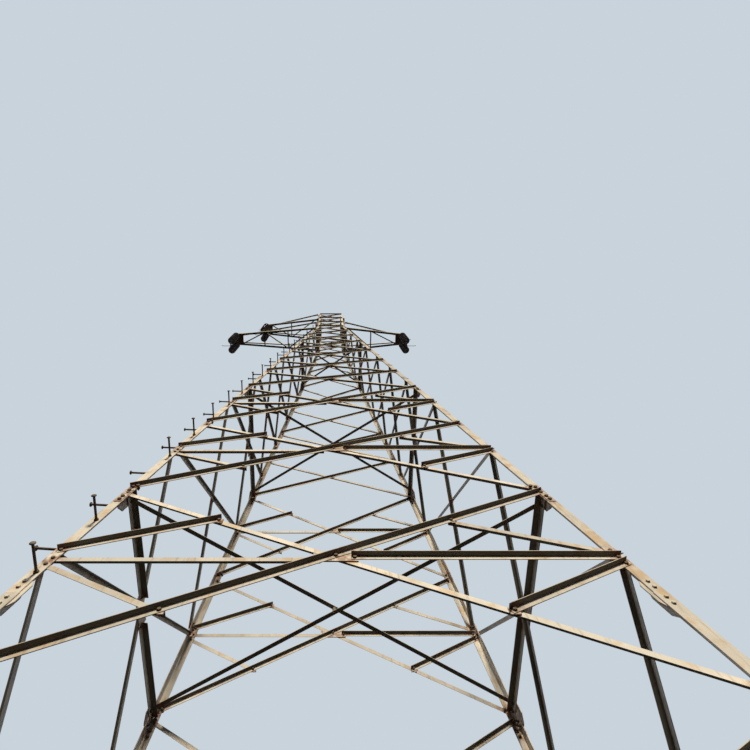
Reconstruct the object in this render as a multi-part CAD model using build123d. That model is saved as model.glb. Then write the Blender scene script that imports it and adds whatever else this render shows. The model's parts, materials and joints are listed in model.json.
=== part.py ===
"""Lattice transmission pylon with three cross-arms, in millimetres, +Z up.

The origin is on the ground on the tower's centre line. The line it carries runs
along Y, so the arms reach out along X and the front face looks towards -Y.
Every bar is an angle section. On each face the bars are bolted to the two sides
of the leg flange, so one set of bars is the outer layer and one the inner.
"""
import math
import os

from build123d import *

# Body of the tower
BASE_HALF_X = 2525
BASE_HALF_Y = 1680
WAIST_HEIGHT = 20000
WAIST_HALF = 480
CAGE_PANEL = 1040
CAGE_PANELS = 3
TOP_HEIGHT = WAIST_HEIGHT + CAGE_PANELS * CAGE_PANEL

# Panel points of the front and back faces, from the lowest to the waist
FRONT_LEVELS = [1140, 3580, 5900, 7990, 10130, 11550, 12890, 14370, 16050, 17450, 18750, WAIST_HEIGHT]
SIDE_FOOT_LEVEL = 160
TIED_PANELS = 4
DIAPHRAGM_PANELS = [2, 4, 8]

# Angle sections, width and thickness
LEG_LOW = (90, 10)
LEG_MIDDLE = (85, 10)
LEG_HIGH = (80, 10)
LEG_CAGE = (80, 8)
DIAGONAL = (45, 5)
TIE = (45, 5)
STRUT = (65, 6)
CAGE_DIAGONAL = (40, 4)
CAGE_TIE = (45, 5)
ROOT_STRUT = (75, 8)
CHORD = (70, 7)
ARM_TIE = (50, 5)
ARM_WEB = (40, 4)
SPLICE_HEIGHT = 4400
SECOND_SPLICE_PANEL = 4

# Bolted joints
JOINT_OFFSET = 60
CAGE_FRONT_OFFSET = 100
CAGE_SIDE_OFFSET = 140
LEG_GAUGE = 52
END_DISTANCE = 25
TIE_DROP = 2
PACKING_HALF = 32
TIE_CLEARANCE = 12
CENTRE_PLATE_BELOW = 60
CENTRE_PLATE_ABOVE = 36
REDUNDANT_ABOVE = 70
REDUNDANT_BELOW = 100
REDUNDANT_SHARE = 0.5
STRUT_CLEARANCE = 52
STRUT_PLATE_EDGE = 50
PLAN_INSET_X = 42
PLAN_INSET_Y = 60
PLAN_LAP = 4
PLAN_BLOCK = 70
CAGE_TOP_DROP = 8
ROOT_STRUT_INSET = 12
SPLICE_HALF_LENGTH = 180
SPLICE_THICKNESS = 8
SPLICE_EDGE = 12

# Feet
BASE_PLATE = 340
BASE_PLATE_THICKNESS = 25
BASE_PLATE_OVERHANG = 110

# Cross-arms: side, level and reach from the centre line to the hanging point
TIP_HALF_Y = 166
TIP_PLATE_THICKNESS = 14
TIP_PLATE_INSIDE = 230
TIP_PLATE_OUTSIDE = 60
TIP_PLATE_EDGE = 34
LONG_REACH = 3450
SHORT_REACH = 2600
ARMS = {
    "left": (-1, WAIST_HEIGHT, LONG_REACH, [1580, 2440]),
    "right": (1, WAIST_HEIGHT, SHORT_REACH, [1465]),
    "upper": (-1, WAIST_HEIGHT + 2 * CAGE_PANEL, SHORT_REACH, [1600]),
}
ARM_ROOT_INSET = 70
ARM_ROOT_GAP = 6
CHORD_OVERRUN = 20
WEB_END = 60
WEB_INSET = 24
WEB_STRUT_GAP = 8
WEB_TIP_DISTANCE = 150
WEB_ROOT_DISTANCE = 130

# Sloping ties over the arms, their gussets on the legs and their uprights at the tips
GUSSET_THICKNESS = 8
CLEAT_THICKNESS = 10
CLEAT_WIDTH = 64
CLEAT_HEIGHT = 110
CLEAT_DROP = 50
CLEAT_SHIFT = 6
TIE_ROOT_OUT = 60
TIE_ROOT_INSET = 40
TIE_TIP_BACK = 70
TIE_TIP_INSET = 66
TIE_TIP_RISE = 62
TIE_OVERRUN = 20
GUSSET_HALF = 40
GUSSET_REACH = 114
GUSSET_FOOT = 50
GUSSET_NOSE = 36
UPRIGHT_INSIDE = 120
UPRIGHT_OUTSIDE = 60
UPRIGHT_TOP = 30

# Insulator sets
LUG_THICKNESS = 16
LUG_WIDTH = 60
LUG_DROP = 46
PIN_DIAMETER = 20
PIN_CLEARANCE = 0.1
CHEEK_THICKNESS = 8
CHEEK_GAP = 1
CHEEK_WIDTH = 36
CHEEK_ABOVE_PIN = 18
SHACKLE_BASE = 22
PIN_END_DIAMETER = 34
PIN_END_LENGTH = 12
DISC_DIAMETER = 255
DISC_PITCH = 146
DISCS = 7
DISC_SIDES = 8
CAP_DIAMETER = 92
CAP_HEIGHT = 42
CAP_TOP_DIAMETER = 58
RIM_DEPTH = 94
UNDERSIDE_DEPTH = 80
STEM_DIAMETER = 42
SHACKLE_DROP = 70
YOKE_THICKNESS = 14
YOKE_HEIGHT = 90
YOKE_END = 40
YOKE_HALF_FOOT = 50
CLAMP_LENGTH = 240
CLAMP_DIAMETER = 58
CLAMP_SIDES = 12
CLAMP_SEAT = 8

# Arcing horns at both ends of each insulator set
HORN_REACH = 330
HORN_DIAMETER = 16
HORN_TURN = 80
HORN_SIDES = 6

# Step bolts on the front left leg
STEP_PITCH = 360
STEP_START = 2810
STEP_CLEARANCE = 160
STEP_LENGTH = 222
STEP_DIAMETER = 20
STEP_HEAD_DIAMETER = 44
STEP_HEAD_THICKNESS = 14
STEP_SIDES = 6

# Earth wire beam across the top
EARTH_REACH = 620
EARTH_OVERRUN = 40
EARTH_BEAM = (75, 8)
EARTH_HANGER = (12, 50, 90)
EARTH_CLAMP_DIAMETER = 44
EARTH_CLAMP_LENGTH = 160


def half_x(height):
    """Half width of the body at a height, at the outer faces of the legs."""
    if height >= WAIST_HEIGHT:
        return WAIST_HALF
    return BASE_HALF_X + (WAIST_HALF - BASE_HALF_X) * height / WAIST_HEIGHT


def half_y(height):
    """Half depth of the body at a height, at the outer faces of the legs."""
    if height >= WAIST_HEIGHT:
        return WAIST_HALF
    return BASE_HALF_Y + (WAIST_HALF - BASE_HALF_Y) * height / WAIST_HEIGHT


FRONT_TILT = math.atan((BASE_HALF_Y - WAIST_HALF) / WAIST_HEIGHT)
SIDE_TILT = math.atan((BASE_HALF_X - WAIST_HALF) / WAIST_HEIGHT)


def crossing(low, high, half):
    """Height where the two diagonals of a panel cross."""
    return low + (high - low) * half(low) / (half(low) + half(high))


SIDE_LEVELS = [SIDE_FOOT_LEVEL]
for low, high in zip(FRONT_LEVELS, FRONT_LEVELS[1:]):
    SIDE_LEVELS.append(crossing(low, high, half_x))
SIDE_LEVELS.append(WAIST_HEIGHT)
CAGE_LEVELS = [WAIST_HEIGHT + i * CAGE_PANEL for i in range(CAGE_PANELS + 1)]


class FacePlane:
    """The outer plane of the legs on one face, with its own across, up and out."""

    def __init__(self, across, tilt, half, depth):
        self.across = Vector(*across)
        self.half = half
        self.depth = depth
        level_out = self.across.cross(Vector(0, 0, 1))
        self.out = level_out * math.cos(tilt) + Vector(0, 0, 1) * math.sin(tilt)
        self.up = self.out.cross(self.across)
        self.level_out = level_out

    def point(self, across, height, out=0):
        """A point by its distance across, its height and its distance out of the plane."""
        return (
            self.across * across
            + self.level_out * self.depth(height)
            + Vector(0, 0, 1) * height
            + self.out * out
        )


FRONT = FacePlane((1, 0, 0), FRONT_TILT, half_x, half_y)
RIGHT = FacePlane((0, 1, 0), SIDE_TILT, half_y, half_x)
CAGE_FRONT = FacePlane((1, 0, 0), 0, half_x, half_y)
CAGE_RIGHT = FacePlane((0, 1, 0), 0, half_y, half_x)


def prism(points, travel):
    """A solid swept from a polygon along a straight travel."""
    return Solid.extrude(Face(Wire.make_polygon(points, close=True)), travel)


def angle_bar(heel, travel, flat, stand, section):
    """An angle bar from the heel of its section, its two flange directions and its travel."""
    width, thickness = section
    outline = [
        (0, 0),
        (width, 0),
        (width, thickness),
        (thickness, thickness),
        (thickness, width),
        (0, width),
    ]
    return prism([heel + flat * i + stand * j for i, j in outline], travel)


def face_bar(face, start, end, section, outer, leg_thickness, extend=END_DISTANCE):
    """An angle bar bolted flat to one face, on the outer or the inner side of the legs."""
    first = face.point(*start)
    last = face.point(*end)
    axis = (last - first).normalized()
    down = face.out.cross(axis)
    if down.dot(face.up) > 0:
        down = down * -1
    stand = face.out if outer else face.out * -1
    lift = face.out * (0 if outer else -leg_thickness)
    heel = first - axis * extend - down * (section[0] / 2) + lift
    travel = axis * ((last - first).length + 2 * extend)
    return angle_bar(heel, travel, down, stand, section)


def packing(face, across, height, half_across, low, high, leg_thickness):
    """A flat plate that fills the leg's thickness between the outer and the inner bars."""
    centre = face.point(across, height, -leg_thickness)
    corners = [
        centre - face.across * half_across + face.up * low,
        centre + face.across * half_across + face.up * low,
        centre + face.across * half_across + face.up * high,
        centre - face.across * half_across + face.up * high,
    ]
    return prism(corners, face.out * leg_thickness)


def joined(solids):
    """One body from solids that overlap or share a face."""
    body = solids[0]
    for solid in solids[1:]:
        body = body.fuse(solid)
    return body


def turned(solids):
    """The same solids half a turn round the tower's centre line."""
    return [solid.rotate(Axis.Z, 180) for solid in solids]


def crossed_diagonals(face, levels, section, leg_thickness, offset=JOINT_OFFSET):
    """The rising outer bar and the falling inner bar of each panel of a face."""
    outer = []
    inner = []
    for low, high in zip(levels, levels[1:]):
        left_low = (LEG_GAUGE - face.half(low), low + offset)
        right_high = (face.half(high) - LEG_GAUGE, high - offset)
        left_high = (LEG_GAUGE - face.half(high), high - offset)
        right_low = (face.half(low) - LEG_GAUGE, low + offset)
        outer.append(face_bar(face, left_low, right_high, section, True, leg_thickness))
        inner.append(face_bar(face, left_high, right_low, section, False, leg_thickness))
    return outer, inner


def crossing_point(face, low, high, offset=JOINT_OFFSET):
    """Height where the bolt lines of a panel's two diagonals meet."""
    bottom = face.half(low) - LEG_GAUGE
    top = face.half(high) - LEG_GAUGE
    return low + offset + (high - low - 2 * offset) * bottom / (bottom + top)


def along(first, last, share):
    """A point a share of the way between two points given as across and height."""
    return tuple(a + (b - a) * share for a, b in zip(first, last))


def front_ties():
    """Horizontal ties and short redundant bars of the four lowest front panels."""
    bars = []
    plates = []
    thickness = LEG_LOW[1]
    for low, high in list(zip(FRONT_LEVELS, FRONT_LEVELS[1:]))[:TIED_PANELS]:
        middle = crossing_point(FRONT, low, high)
        foot = FRONT.half(low) - LEG_GAUGE
        head = FRONT.half(high) - LEG_GAUGE
        slope = (high - low) / (foot + head)
        clear = (DIAGONAL[0] / 2 * math.hypot(1, slope) + TIE[0]) / slope + TIE_CLEARANCE
        tie_height = middle - TIE_DROP - TIE[0] / 2
        reach = FRONT.half(middle) - LEG_GAUGE
        bars.append(face_bar(FRONT, (-reach, tie_height), (-clear, tie_height), TIE, False, thickness))
        bars.append(face_bar(FRONT, (clear, tie_height), (reach, tie_height), TIE, True, thickness))
        half_plate = clear + END_DISTANCE
        plates.append(
            packing(FRONT, 0, middle, half_plate, -CENTRE_PLATE_BELOW, CENTRE_PLATE_ABOVE, thickness)
        )
        ends = {
            (-1, 1): (-head, high - JOINT_OFFSET),
            (1, 1): (head, high - JOINT_OFFSET),
            (-1, -1): (-foot, low + JOINT_OFFSET),
            (1, -1): (foot, low + JOINT_OFFSET),
        }
        for (side, upper), end in ends.items():
            on_leg = middle + (REDUNDANT_ABOVE if upper > 0 else -REDUNDANT_BELOW)
            start = (side * (FRONT.half(on_leg) - LEG_GAUGE), on_leg)
            target = along((0, middle), end, REDUNDANT_SHARE)
            outer = side * upper < 0
            bars.append(face_bar(FRONT, start, target, TIE, outer, thickness))
            plates.append(
                packing(FRONT, *target, PACKING_HALF, -PACKING_HALF, PACKING_HALF, thickness)
            )
    return bars, plates


def crossing_plates(face, levels, leg_thickness, skip=(), offset=JOINT_OFFSET):
    """Packing plates where the two diagonals of each panel cross."""
    plates = []
    for number, (low, high) in enumerate(zip(levels, levels[1:])):
        if number in skip:
            continue
        middle = crossing_point(face, low, high, offset)
        plates.append(
            packing(face, 0, middle, PACKING_HALF, -PACKING_HALF, PACKING_HALF, leg_thickness)
        )
    return plates


def diaphragm(panel):
    """Side struts and plan diagonals that keep the body square at one level."""
    level = FRONT_LEVELS[panel]
    thickness = LEG_LOW[1]
    low, high = SIDE_LEVELS[panel], SIDE_LEVELS[panel + 1]
    middle = crossing_point(RIGHT, low, high)
    slope = (high - low) / (RIGHT.half(low) + RIGHT.half(high) - 2 * LEG_GAUGE)
    clear = (abs(middle - level) + STRUT_CLEARANCE) / slope + TIE_CLEARANCE
    drop = TIE_DROP + STRUT[0] / 2
    reach = RIGHT.half(level) - LEG_GAUGE
    near = face_bar(RIGHT, (-reach, level - drop), (-clear, level - drop), STRUT, False, thickness)
    far = face_bar(RIGHT, (clear, level + drop), (reach, level + drop), STRUT, False, thickness)
    low_edge = min(-TIE_DROP - STRUT_PLATE_EDGE, middle - level - PACKING_HALF)
    high_edge = max(TIE_DROP + STRUT_PLATE_EDGE, middle - level + PACKING_HALF)
    plate = packing(RIGHT, 0, level, clear + END_DISTANCE, low_edge, high_edge, thickness)
    struts = [near, far] + turned([near, far])
    width = DIAGONAL[0]
    end_x = half_x(level) - thickness - PLAN_INSET_X
    end_y = half_y(level) - LEG_LOW[0] - PLAN_INSET_Y
    low_top = level - TIE_DROP - PLAN_LAP
    high_top = level + TIE_DROP + STRUT[0] - PLAN_LAP
    plan = []
    for sign, top in ((-1, low_top), (1, high_top)):
        first = Vector(end_x, sign * end_y, top)
        last = Vector(-end_x, -sign * end_y, top)
        axis = (last - first).normalized()
        side = axis.cross(Vector(0, 0, 1))
        heel = first - side * (width / 2)
        plan.append(angle_bar(heel, last - first, side, Vector(0, 0, -1), DIAGONAL))
    gap = high_top - width - low_top
    block = Box(PLAN_BLOCK, PLAN_BLOCK, gap + 2 * PLAN_LAP)
    block = block.moved(Location((0, 0, low_top + gap / 2)))
    return joined(struts + plan + [block]), [plate] + turned([plate])


def leg_lengths():
    """The front right leg: one body up to the waist and one above it."""
    second = FRONT_LEVELS[SECOND_SPLICE_PANEL]
    stages = [
        (BASE_PLATE_THICKNESS, SPLICE_HEIGHT, LEG_LOW, FRONT_TILT, SIDE_TILT),
        (SPLICE_HEIGHT, second, LEG_MIDDLE, FRONT_TILT, SIDE_TILT),
        (second, WAIST_HEIGHT, LEG_HIGH, FRONT_TILT, SIDE_TILT),
        (WAIST_HEIGHT, TOP_HEIGHT, LEG_CAGE, 0, 0),
    ]
    parts = []
    for low, high, (width, thickness), tilt_y, tilt_x in stages:
        heel = Vector(half_x(low), -half_y(low), low)
        end = Vector(half_x(high), -half_y(high), high)
        across = thickness / math.cos(tilt_x)
        deep = thickness / math.cos(tilt_y)
        outline = [(0, 0), (-width, 0), (-width, deep), (-across, deep), (-across, width), (0, width)]
        parts.append(prism([heel + Vector(i, j, 0) for i, j in outline], end - heel))
    return joined(parts[:-1]), parts[-1]


def splice():
    """Angle plate inside the front right leg where its two lowest lengths meet."""
    low = SPLICE_HEIGHT - SPLICE_HALF_LENGTH
    high = SPLICE_HEIGHT + SPLICE_HALF_LENGTH
    inset_x = LEG_LOW[1] / math.cos(SIDE_TILT)
    inset_y = LEG_LOW[1] / math.cos(FRONT_TILT)
    heel = Vector(half_x(low) - inset_x, inset_y - half_y(low), low)
    end = Vector(half_x(high) - inset_x, inset_y - half_y(high), high)
    width = LEG_MIDDLE[0] - LEG_MIDDLE[1] - SPLICE_EDGE
    plate = SPLICE_THICKNESS
    outline = [(0, 0), (-width, 0), (-width, plate), (-plate, plate), (-plate, width), (0, width)]
    return prism([heel + Vector(i, j, 0) for i, j in outline], end - heel)


def base_plate():
    """Plate under the foot of the front right leg."""
    centre = BASE_PLATE / 2 - BASE_PLATE_OVERHANG
    block = Box(BASE_PLATE, BASE_PLATE, BASE_PLATE_THICKNESS)
    at = (half_x(0) - centre, centre - half_y(0), BASE_PLATE_THICKNESS / 2)
    return block.moved(Location(at))


def at_four_corners(solid):
    """A solid of the front right corner repeated at all four by mirroring."""
    left = solid.mirror(Plane.YZ)
    back = solid.mirror(Plane.XZ)
    far = left.mirror(Plane.XZ)
    return {"front_right": solid, "front_left": left, "back_right": back, "back_left": far}


def cage():
    """Crossed bars and level ties of the upright top of the tower."""
    thickness = LEG_CAGE[1]
    outer = []
    inner = []
    plates = []
    ties = []
    for face, offset in ((CAGE_FRONT, CAGE_FRONT_OFFSET), (CAGE_RIGHT, CAGE_SIDE_OFFSET)):
        out, back = crossed_diagonals(face, CAGE_LEVELS, CAGE_DIAGONAL, thickness, offset)
        outer += out
        inner += back
        plates += crossing_plates(face, CAGE_LEVELS, thickness, (), offset)
    reach = WAIST_HALF - LEG_GAUGE
    for level in CAGE_LEVELS:
        height = level - CAGE_TIE[0] / 2 - (CAGE_TOP_DROP if level == TOP_HEIGHT else 0)
        if level == WAIST_HEIGHT:
            height = level + CAGE_TIE[0] / 2 + TIE_DROP
        ties.append(face_bar(CAGE_FRONT, (-reach, height), (reach, height), CAGE_TIE, True, thickness))
    return (
        outer + turned(outer),
        inner + turned(inner),
        ties + turned(ties),
        plates + turned(plates),
    )


def root_struts():
    """Side struts of the cage: two levels carry the arm chords and the top one the beam."""
    width, thickness = ROOT_STRUT
    length = 2 * (WAIST_HALF - ROOT_STRUT_INSET)
    travel = Vector(0, length, 0)
    struts = []
    for side in (-1, 1):
        outward = Vector(side, 0, 0)
        for level in (WAIST_HEIGHT, CAGE_LEVELS[2]):
            heel = Vector(side * WAIST_HALF, -length / 2, level)
            struts.append(angle_bar(heel, travel, Vector(0, 0, 1), outward, ROOT_STRUT))
        inside = length / 2 - LEG_CAGE[1]
        heel = Vector(side * (WAIST_HALF - LEG_CAGE[1]), -inside, TOP_HEIGHT)
        struts.append(
            angle_bar(heel, Vector(0, 2 * inside, 0), Vector(0, 0, -1), outward * -1, ROOT_STRUT)
        )
    return struts


def arm_frame(name):
    """Side, level, reach, chord root and chord tip of one arm."""
    side, cage_level, reach, struts = ARMS[name]
    level = cage_level + ROOT_STRUT[1]
    root_x = WAIST_HALF + ROOT_STRUT[1] + ARM_ROOT_GAP + ROOT_STRUT[1]
    root = Vector(side * root_x, -(WAIST_HALF - ARM_ROOT_INSET), level)
    tip = Vector(side * (reach + CHORD_OVERRUN), -TIP_HALF_Y, level)
    return side, level, reach, struts, root, tip


def across_line(root, tip, x):
    """The point of a chord's line at a distance out along X."""
    share = (abs(x) - abs(root.X)) / (abs(tip.X) - abs(root.X))
    return root + (tip - root) * share


def arm(name):
    """Chords and the flat web between them of one cross-arm."""
    side, level, reach, strut_places, root, tip = arm_frame(name)
    width, thickness = CHORD
    axis = (tip - root).normalized()
    outward = Vector(axis.Y, -axis.X, 0) * side
    if outward.Y > 0:
        outward = outward * -1
    heel = root + outward * (width / 2)
    chord = angle_bar(heel, tip - root, outward * -1, Vector(0, 0, 1), CHORD)
    chords = [chord, chord.mirror(Plane.XZ)]

    web = []
    top = level + thickness
    upward = Vector(0, 0, 1)
    for place in strut_places:
        front = across_line(root, tip, place)
        strut_end = front.Y - width / 2 + thickness + WEB_STRUT_GAP
        first = Vector(side * place - ARM_WEB[0] / 2, strut_end, top)
        web.append(angle_bar(first, Vector(0, -2 * first.Y, 0), Vector(1, 0, 0), upward, ARM_WEB))
    stations = [WAIST_HALF + WEB_ROOT_DISTANCE] + strut_places + [reach - WEB_TIP_DISTANCE]
    for number, (near, far) in enumerate(zip(stations, stations[1:])):
        from_front = (number % 2 == 1) == (side < 0)
        sign = -1 if number and from_front else 1
        first = across_line(root, tip, near + WEB_END)
        last = across_line(root, tip, far - WEB_END)
        start = Vector(first.X, sign * (first.Y + WEB_INSET), top)
        end = Vector(last.X, -sign * (last.Y + WEB_INSET), top)
        across = (end - start).normalized().cross(upward)
        heel = start - across * (ARM_WEB[0] / 2)
        web.append(angle_bar(heel, end - start, across, upward, ARM_WEB))
    return chords, web


def bent_rod(points, diameter, sides):
    """A rod of straight runs between points in one plane of constant Y."""
    runs = []
    for first, last in zip(points, points[1:]):
        travel = last - first
        place = Plane(origin=first, z_dir=travel)
        run = extrude(RegularPolygon(diameter / 2, sides), travel.length + diameter / 4)
        runs.append(run.moved(place.location))
    return joined(runs)


def horn(x, height, side, turn):
    """Arcing horn that leaves a fitting away from the tower and turns its end up or down."""
    bend = x + side * (HORN_REACH - HORN_TURN * math.sqrt(0.5))
    end = Vector(x + side * HORN_REACH, 0, height + turn * HORN_TURN * math.sqrt(0.5))
    return bent_rod([Vector(x, 0, height), Vector(bend, 0, height), end], HORN_DIAMETER, HORN_SIDES)


def lug(x, y, height, pin_height):
    """Hanging lug under a tip plate, with the hole that its shackle pin turns in."""
    bottom = pin_height - LUG_WIDTH / 2
    plate = Box(LUG_WIDTH, LUG_THICKNESS, height - bottom)
    plate = plate.moved(Location((x, y, (height + bottom) / 2)))
    hole = Cylinder(PIN_DIAMETER / 2 + PIN_CLEARANCE, 2 * LUG_THICKNESS).rotate(Axis.X, 90)
    return plate - hole.moved(Location((x, y, pin_height)))


def arm_ties(name):
    """Sloping ties over one arm, their gussets on the legs and the tip plate."""
    side, level, reach, strut_places, root, tip = arm_frame(name)
    top_level = ARMS[name][1] + CAGE_PANEL
    cleat_face = WAIST_HALF + CLEAT_THICKNESS
    high = Vector(
        side * (cleat_face + TIE_ROOT_OUT), TIE_ROOT_INSET - WAIST_HALF, top_level - CLEAT_DROP
    )
    low = Vector(side * (reach - TIE_TIP_BACK), TIE_TIP_INSET - TIP_HALF_Y, level + TIE_TIP_RISE)
    axis = (low - high).normalized()
    plan = Vector(axis.X, axis.Y, 0).normalized()
    face_out = Vector(plan.Y, -plan.X, 0)
    if face_out.Y > 0:
        face_out = face_out * -1
    down = axis.cross(face_out)
    if down.Z > 0:
        down = down * -1
    heel = high - down * (ARM_TIE[0] / 2) - axis * TIE_OVERRUN
    travel = low - high + axis * 2 * TIE_OVERRUN
    bar = angle_bar(heel, travel, down, face_out, ARM_TIE)

    up = Vector(0, 0, 1)
    back = face_out * -GUSSET_THICKNESS
    start = high - plan * (TIE_ROOT_OUT + CLEAT_THICKNESS / 2)
    end = high + axis * GUSSET_REACH
    corners = [
        start + up * GUSSET_HALF,
        high + up * GUSSET_HALF,
        end + up * GUSSET_HALF / 2,
        end - up * GUSSET_NOSE,
        start - up * GUSSET_FOOT,
    ]
    cleat = Box(CLEAT_THICKNESS, CLEAT_WIDTH, CLEAT_HEIGHT)
    at = (side * (WAIST_HALF + CLEAT_THICKNESS / 2), start.Y + CLEAT_SHIFT, start.Z)
    gusset = joined([cleat.moved(Location(at)), prism(corners, back)])

    inner_x = reach - TIP_PLATE_INSIDE
    outer_x = reach + TIP_PLATE_OUTSIDE
    inner_y = TIP_PLATE_EDGE - across_line(root, tip, inner_x).Y
    outer_y = TIP_PLATE_EDGE + TIP_HALF_Y
    flat = prism(
        [
            Vector(side * inner_x, -inner_y, level),
            Vector(side * outer_x, -outer_y, level),
            Vector(side * outer_x, outer_y, level),
            Vector(side * inner_x, inner_y, level),
        ],
        up * -TIP_PLATE_THICKNESS,
    )
    inside = low - plan * UPRIGHT_INSIDE
    outside = low + plan * UPRIGHT_OUTSIDE
    rooted = up * (TIE_TIP_RISE + TIP_PLATE_THICKNESS / 2)
    corners = [inside - rooted, outside - rooted, outside + up * UPRIGHT_TOP, inside + up * UPRIGHT_TOP * 2]
    upright = prism(corners, back)
    pin_height = level - TIP_PLATE_THICKNESS - LUG_DROP
    pieces = [flat, upright, upright.mirror(Plane.XZ)]
    for y in (-TIP_HALF_Y, TIP_HALF_Y):
        pieces.append(lug(side * reach, y, level - TIP_PLATE_THICKNESS / 2, pin_height))
    pieces.append(horn(side * reach, level - TIP_PLATE_THICKNESS / 2, side, -1))
    return [bar, bar.mirror(Plane.XZ)], [gusset, gusset.mirror(Plane.XZ)], joined(pieces)


def ring(radius, height, sides):
    """Corners of a level regular polygon round the Z axis."""
    turn = 2 * math.pi / sides
    return [
        Vector(radius * math.cos(i * turn), radius * math.sin(i * turn), height)
        for i in range(sides)
    ]


def stacked(rings):
    """A closed solid of flat faces through rings of equal numbers of corners."""
    faces = [Face(Wire.make_polygon(rings[0], close=True))]
    for above, below in zip(rings, rings[1:]):
        for i in range(len(above)):
            corners = [above[i - 1], above[i], below[i], below[i - 1]]
            faces.append(Face(Wire.make_polygon(corners, close=True)))
    faces.append(Face(Wire.make_polygon(rings[-1], close=True)))
    return Solid(Shell(faces))


def insulator_string(x, y, pin_height):
    """One string of cap-and-pin discs hanging from a shackle pin."""
    top = pin_height - SHACKLE_DROP
    rings = []
    for number in range(DISCS):
        head = top - number * DISC_PITCH
        rings.append(ring(CAP_TOP_DIAMETER / 2, head, DISC_SIDES))
        rings.append(ring(CAP_DIAMETER / 2, head - CAP_HEIGHT, DISC_SIDES))
        rings.append(ring(DISC_DIAMETER / 2, head - RIM_DEPTH, DISC_SIDES))
        rings.append(ring(STEM_DIAMETER / 2, head - UNDERSIDE_DEPTH, DISC_SIDES))
    rings.append(ring(STEM_DIAMETER / 2, top - DISCS * DISC_PITCH, DISC_SIDES))
    return stacked(rings).moved(Location((x, y, 0)))


def shackle(x, y, pin_height):
    """Shackle of one string: two cheeks beside the lug, the pin and the base below."""
    spread = LUG_THICKNESS / 2 + CHEEK_GAP
    outer = spread + CHEEK_THICKNESS
    top = pin_height + CHEEK_ABOVE_PIN
    bottom = pin_height - SHACKLE_DROP
    parts = []
    for way in (-1, 1):
        cheek = Box(CHEEK_WIDTH, CHEEK_THICKNESS, top - bottom)
        place = (x, y + way * (spread + CHEEK_THICKNESS / 2), (top + bottom) / 2)
        parts.append(cheek.moved(Location(place)))
        end = extrude(RegularPolygon(PIN_END_DIAMETER / 2, 6), PIN_END_LENGTH)
        end = end.rotate(Axis.X, -90 * way)
        parts.append(end.moved(Location((x, y + way * outer, pin_height))))
    pin = Cylinder(PIN_DIAMETER / 2, spread + outer).rotate(Axis.X, 90)
    parts.append(pin.moved(Location((x, y, pin_height))))
    base = Box(CHEEK_WIDTH, 2 * outer, SHACKLE_BASE)
    parts.append(base.moved(Location((x, y, bottom + SHACKLE_BASE / 2))))
    return joined(parts)


def insulator_set(name):
    """The two strings of one arm, their shackles and the yoke with its wire clamp."""
    side, level, reach = arm_frame(name)[:3]
    x = side * reach
    pin_height = level - TIP_PLATE_THICKNESS - LUG_DROP
    places = (-TIP_HALF_Y, TIP_HALF_Y)
    strings = [insulator_string(x, y, pin_height) for y in places]
    shackles = [shackle(x, y, pin_height) for y in places]
    bottom = pin_height - SHACKLE_DROP - DISCS * DISC_PITCH
    face = x - YOKE_THICKNESS / 2
    outer = TIP_HALF_Y + YOKE_END
    yoke = prism(
        [
            Vector(face, -outer, bottom),
            Vector(face, outer, bottom),
            Vector(face, outer, bottom - YOKE_END),
            Vector(face, YOKE_HALF_FOOT, bottom - YOKE_HEIGHT),
            Vector(face, -YOKE_HALF_FOOT, bottom - YOKE_HEIGHT),
            Vector(face, -outer, bottom - YOKE_END),
        ],
        Vector(YOKE_THICKNESS, 0, 0),
    )
    clamp = wire_clamp(x, bottom - YOKE_HEIGHT + CLAMP_SEAT, CLAMP_DIAMETER, CLAMP_LENGTH)
    lower_horn = horn(x, bottom - YOKE_HEIGHT / 2, side, 1)
    return strings, shackles + [joined([yoke, clamp, lower_horn])]


def wire_clamp(x, top, diameter, length):
    """Closed clamp along Y whose top lies at the height given."""
    body = extrude(RegularPolygon(diameter / 2, CLAMP_SIDES), length / 2, both=True)
    return body.rotate(Axis.X, 90).moved(Location((x, 0, top - diameter / 2)))


def beside(height, joints):
    """The joint that a height is too near to, or nothing."""
    for joint in joints:
        if abs(height - joint) < STEP_CLEARANCE:
            return joint
    return None


def step_bolts():
    """Step bolts up the front left leg, in turn out of its front and its left side.

    Beside a panel point of the front face the joint's own bolts take the place of
    one, and beside any other joint it moves up the leg.
    """
    shank = extrude(RegularPolygon(STEP_DIAMETER / 2, STEP_SIDES), STEP_LENGTH - STEP_HEAD_THICKNESS)
    head = extrude(RegularPolygon(STEP_HEAD_DIAMETER / 2, STEP_SIDES), STEP_HEAD_THICKNESS)
    peg = joined([shank, head.moved(Location((0, 0, STEP_LENGTH - STEP_HEAD_THICKNESS)))])
    left_out = Vector(-RIGHT.out.X, 0, RIGHT.out.Z)
    pegs = []
    for number in range(int((WAIST_HEIGHT - STEP_START) // STEP_PITCH)):
        height = STEP_START + number * STEP_PITCH
        joint = beside(height, SIDE_LEVELS)
        if joint is not None:
            height = joint + STEP_CLEARANCE
        if number % 2:
            if beside(height, FRONT_LEVELS) is not None:
                continue
            place = Plane(origin=FRONT.point(LEG_GAUGE - half_x(height), height), z_dir=FRONT.out)
        else:
            at = Vector(-half_x(height), LEG_GAUGE - half_y(height), height)
            place = Plane(origin=at, z_dir=left_out)
        pegs.append(peg.moved(place.location))
    return pegs


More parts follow.
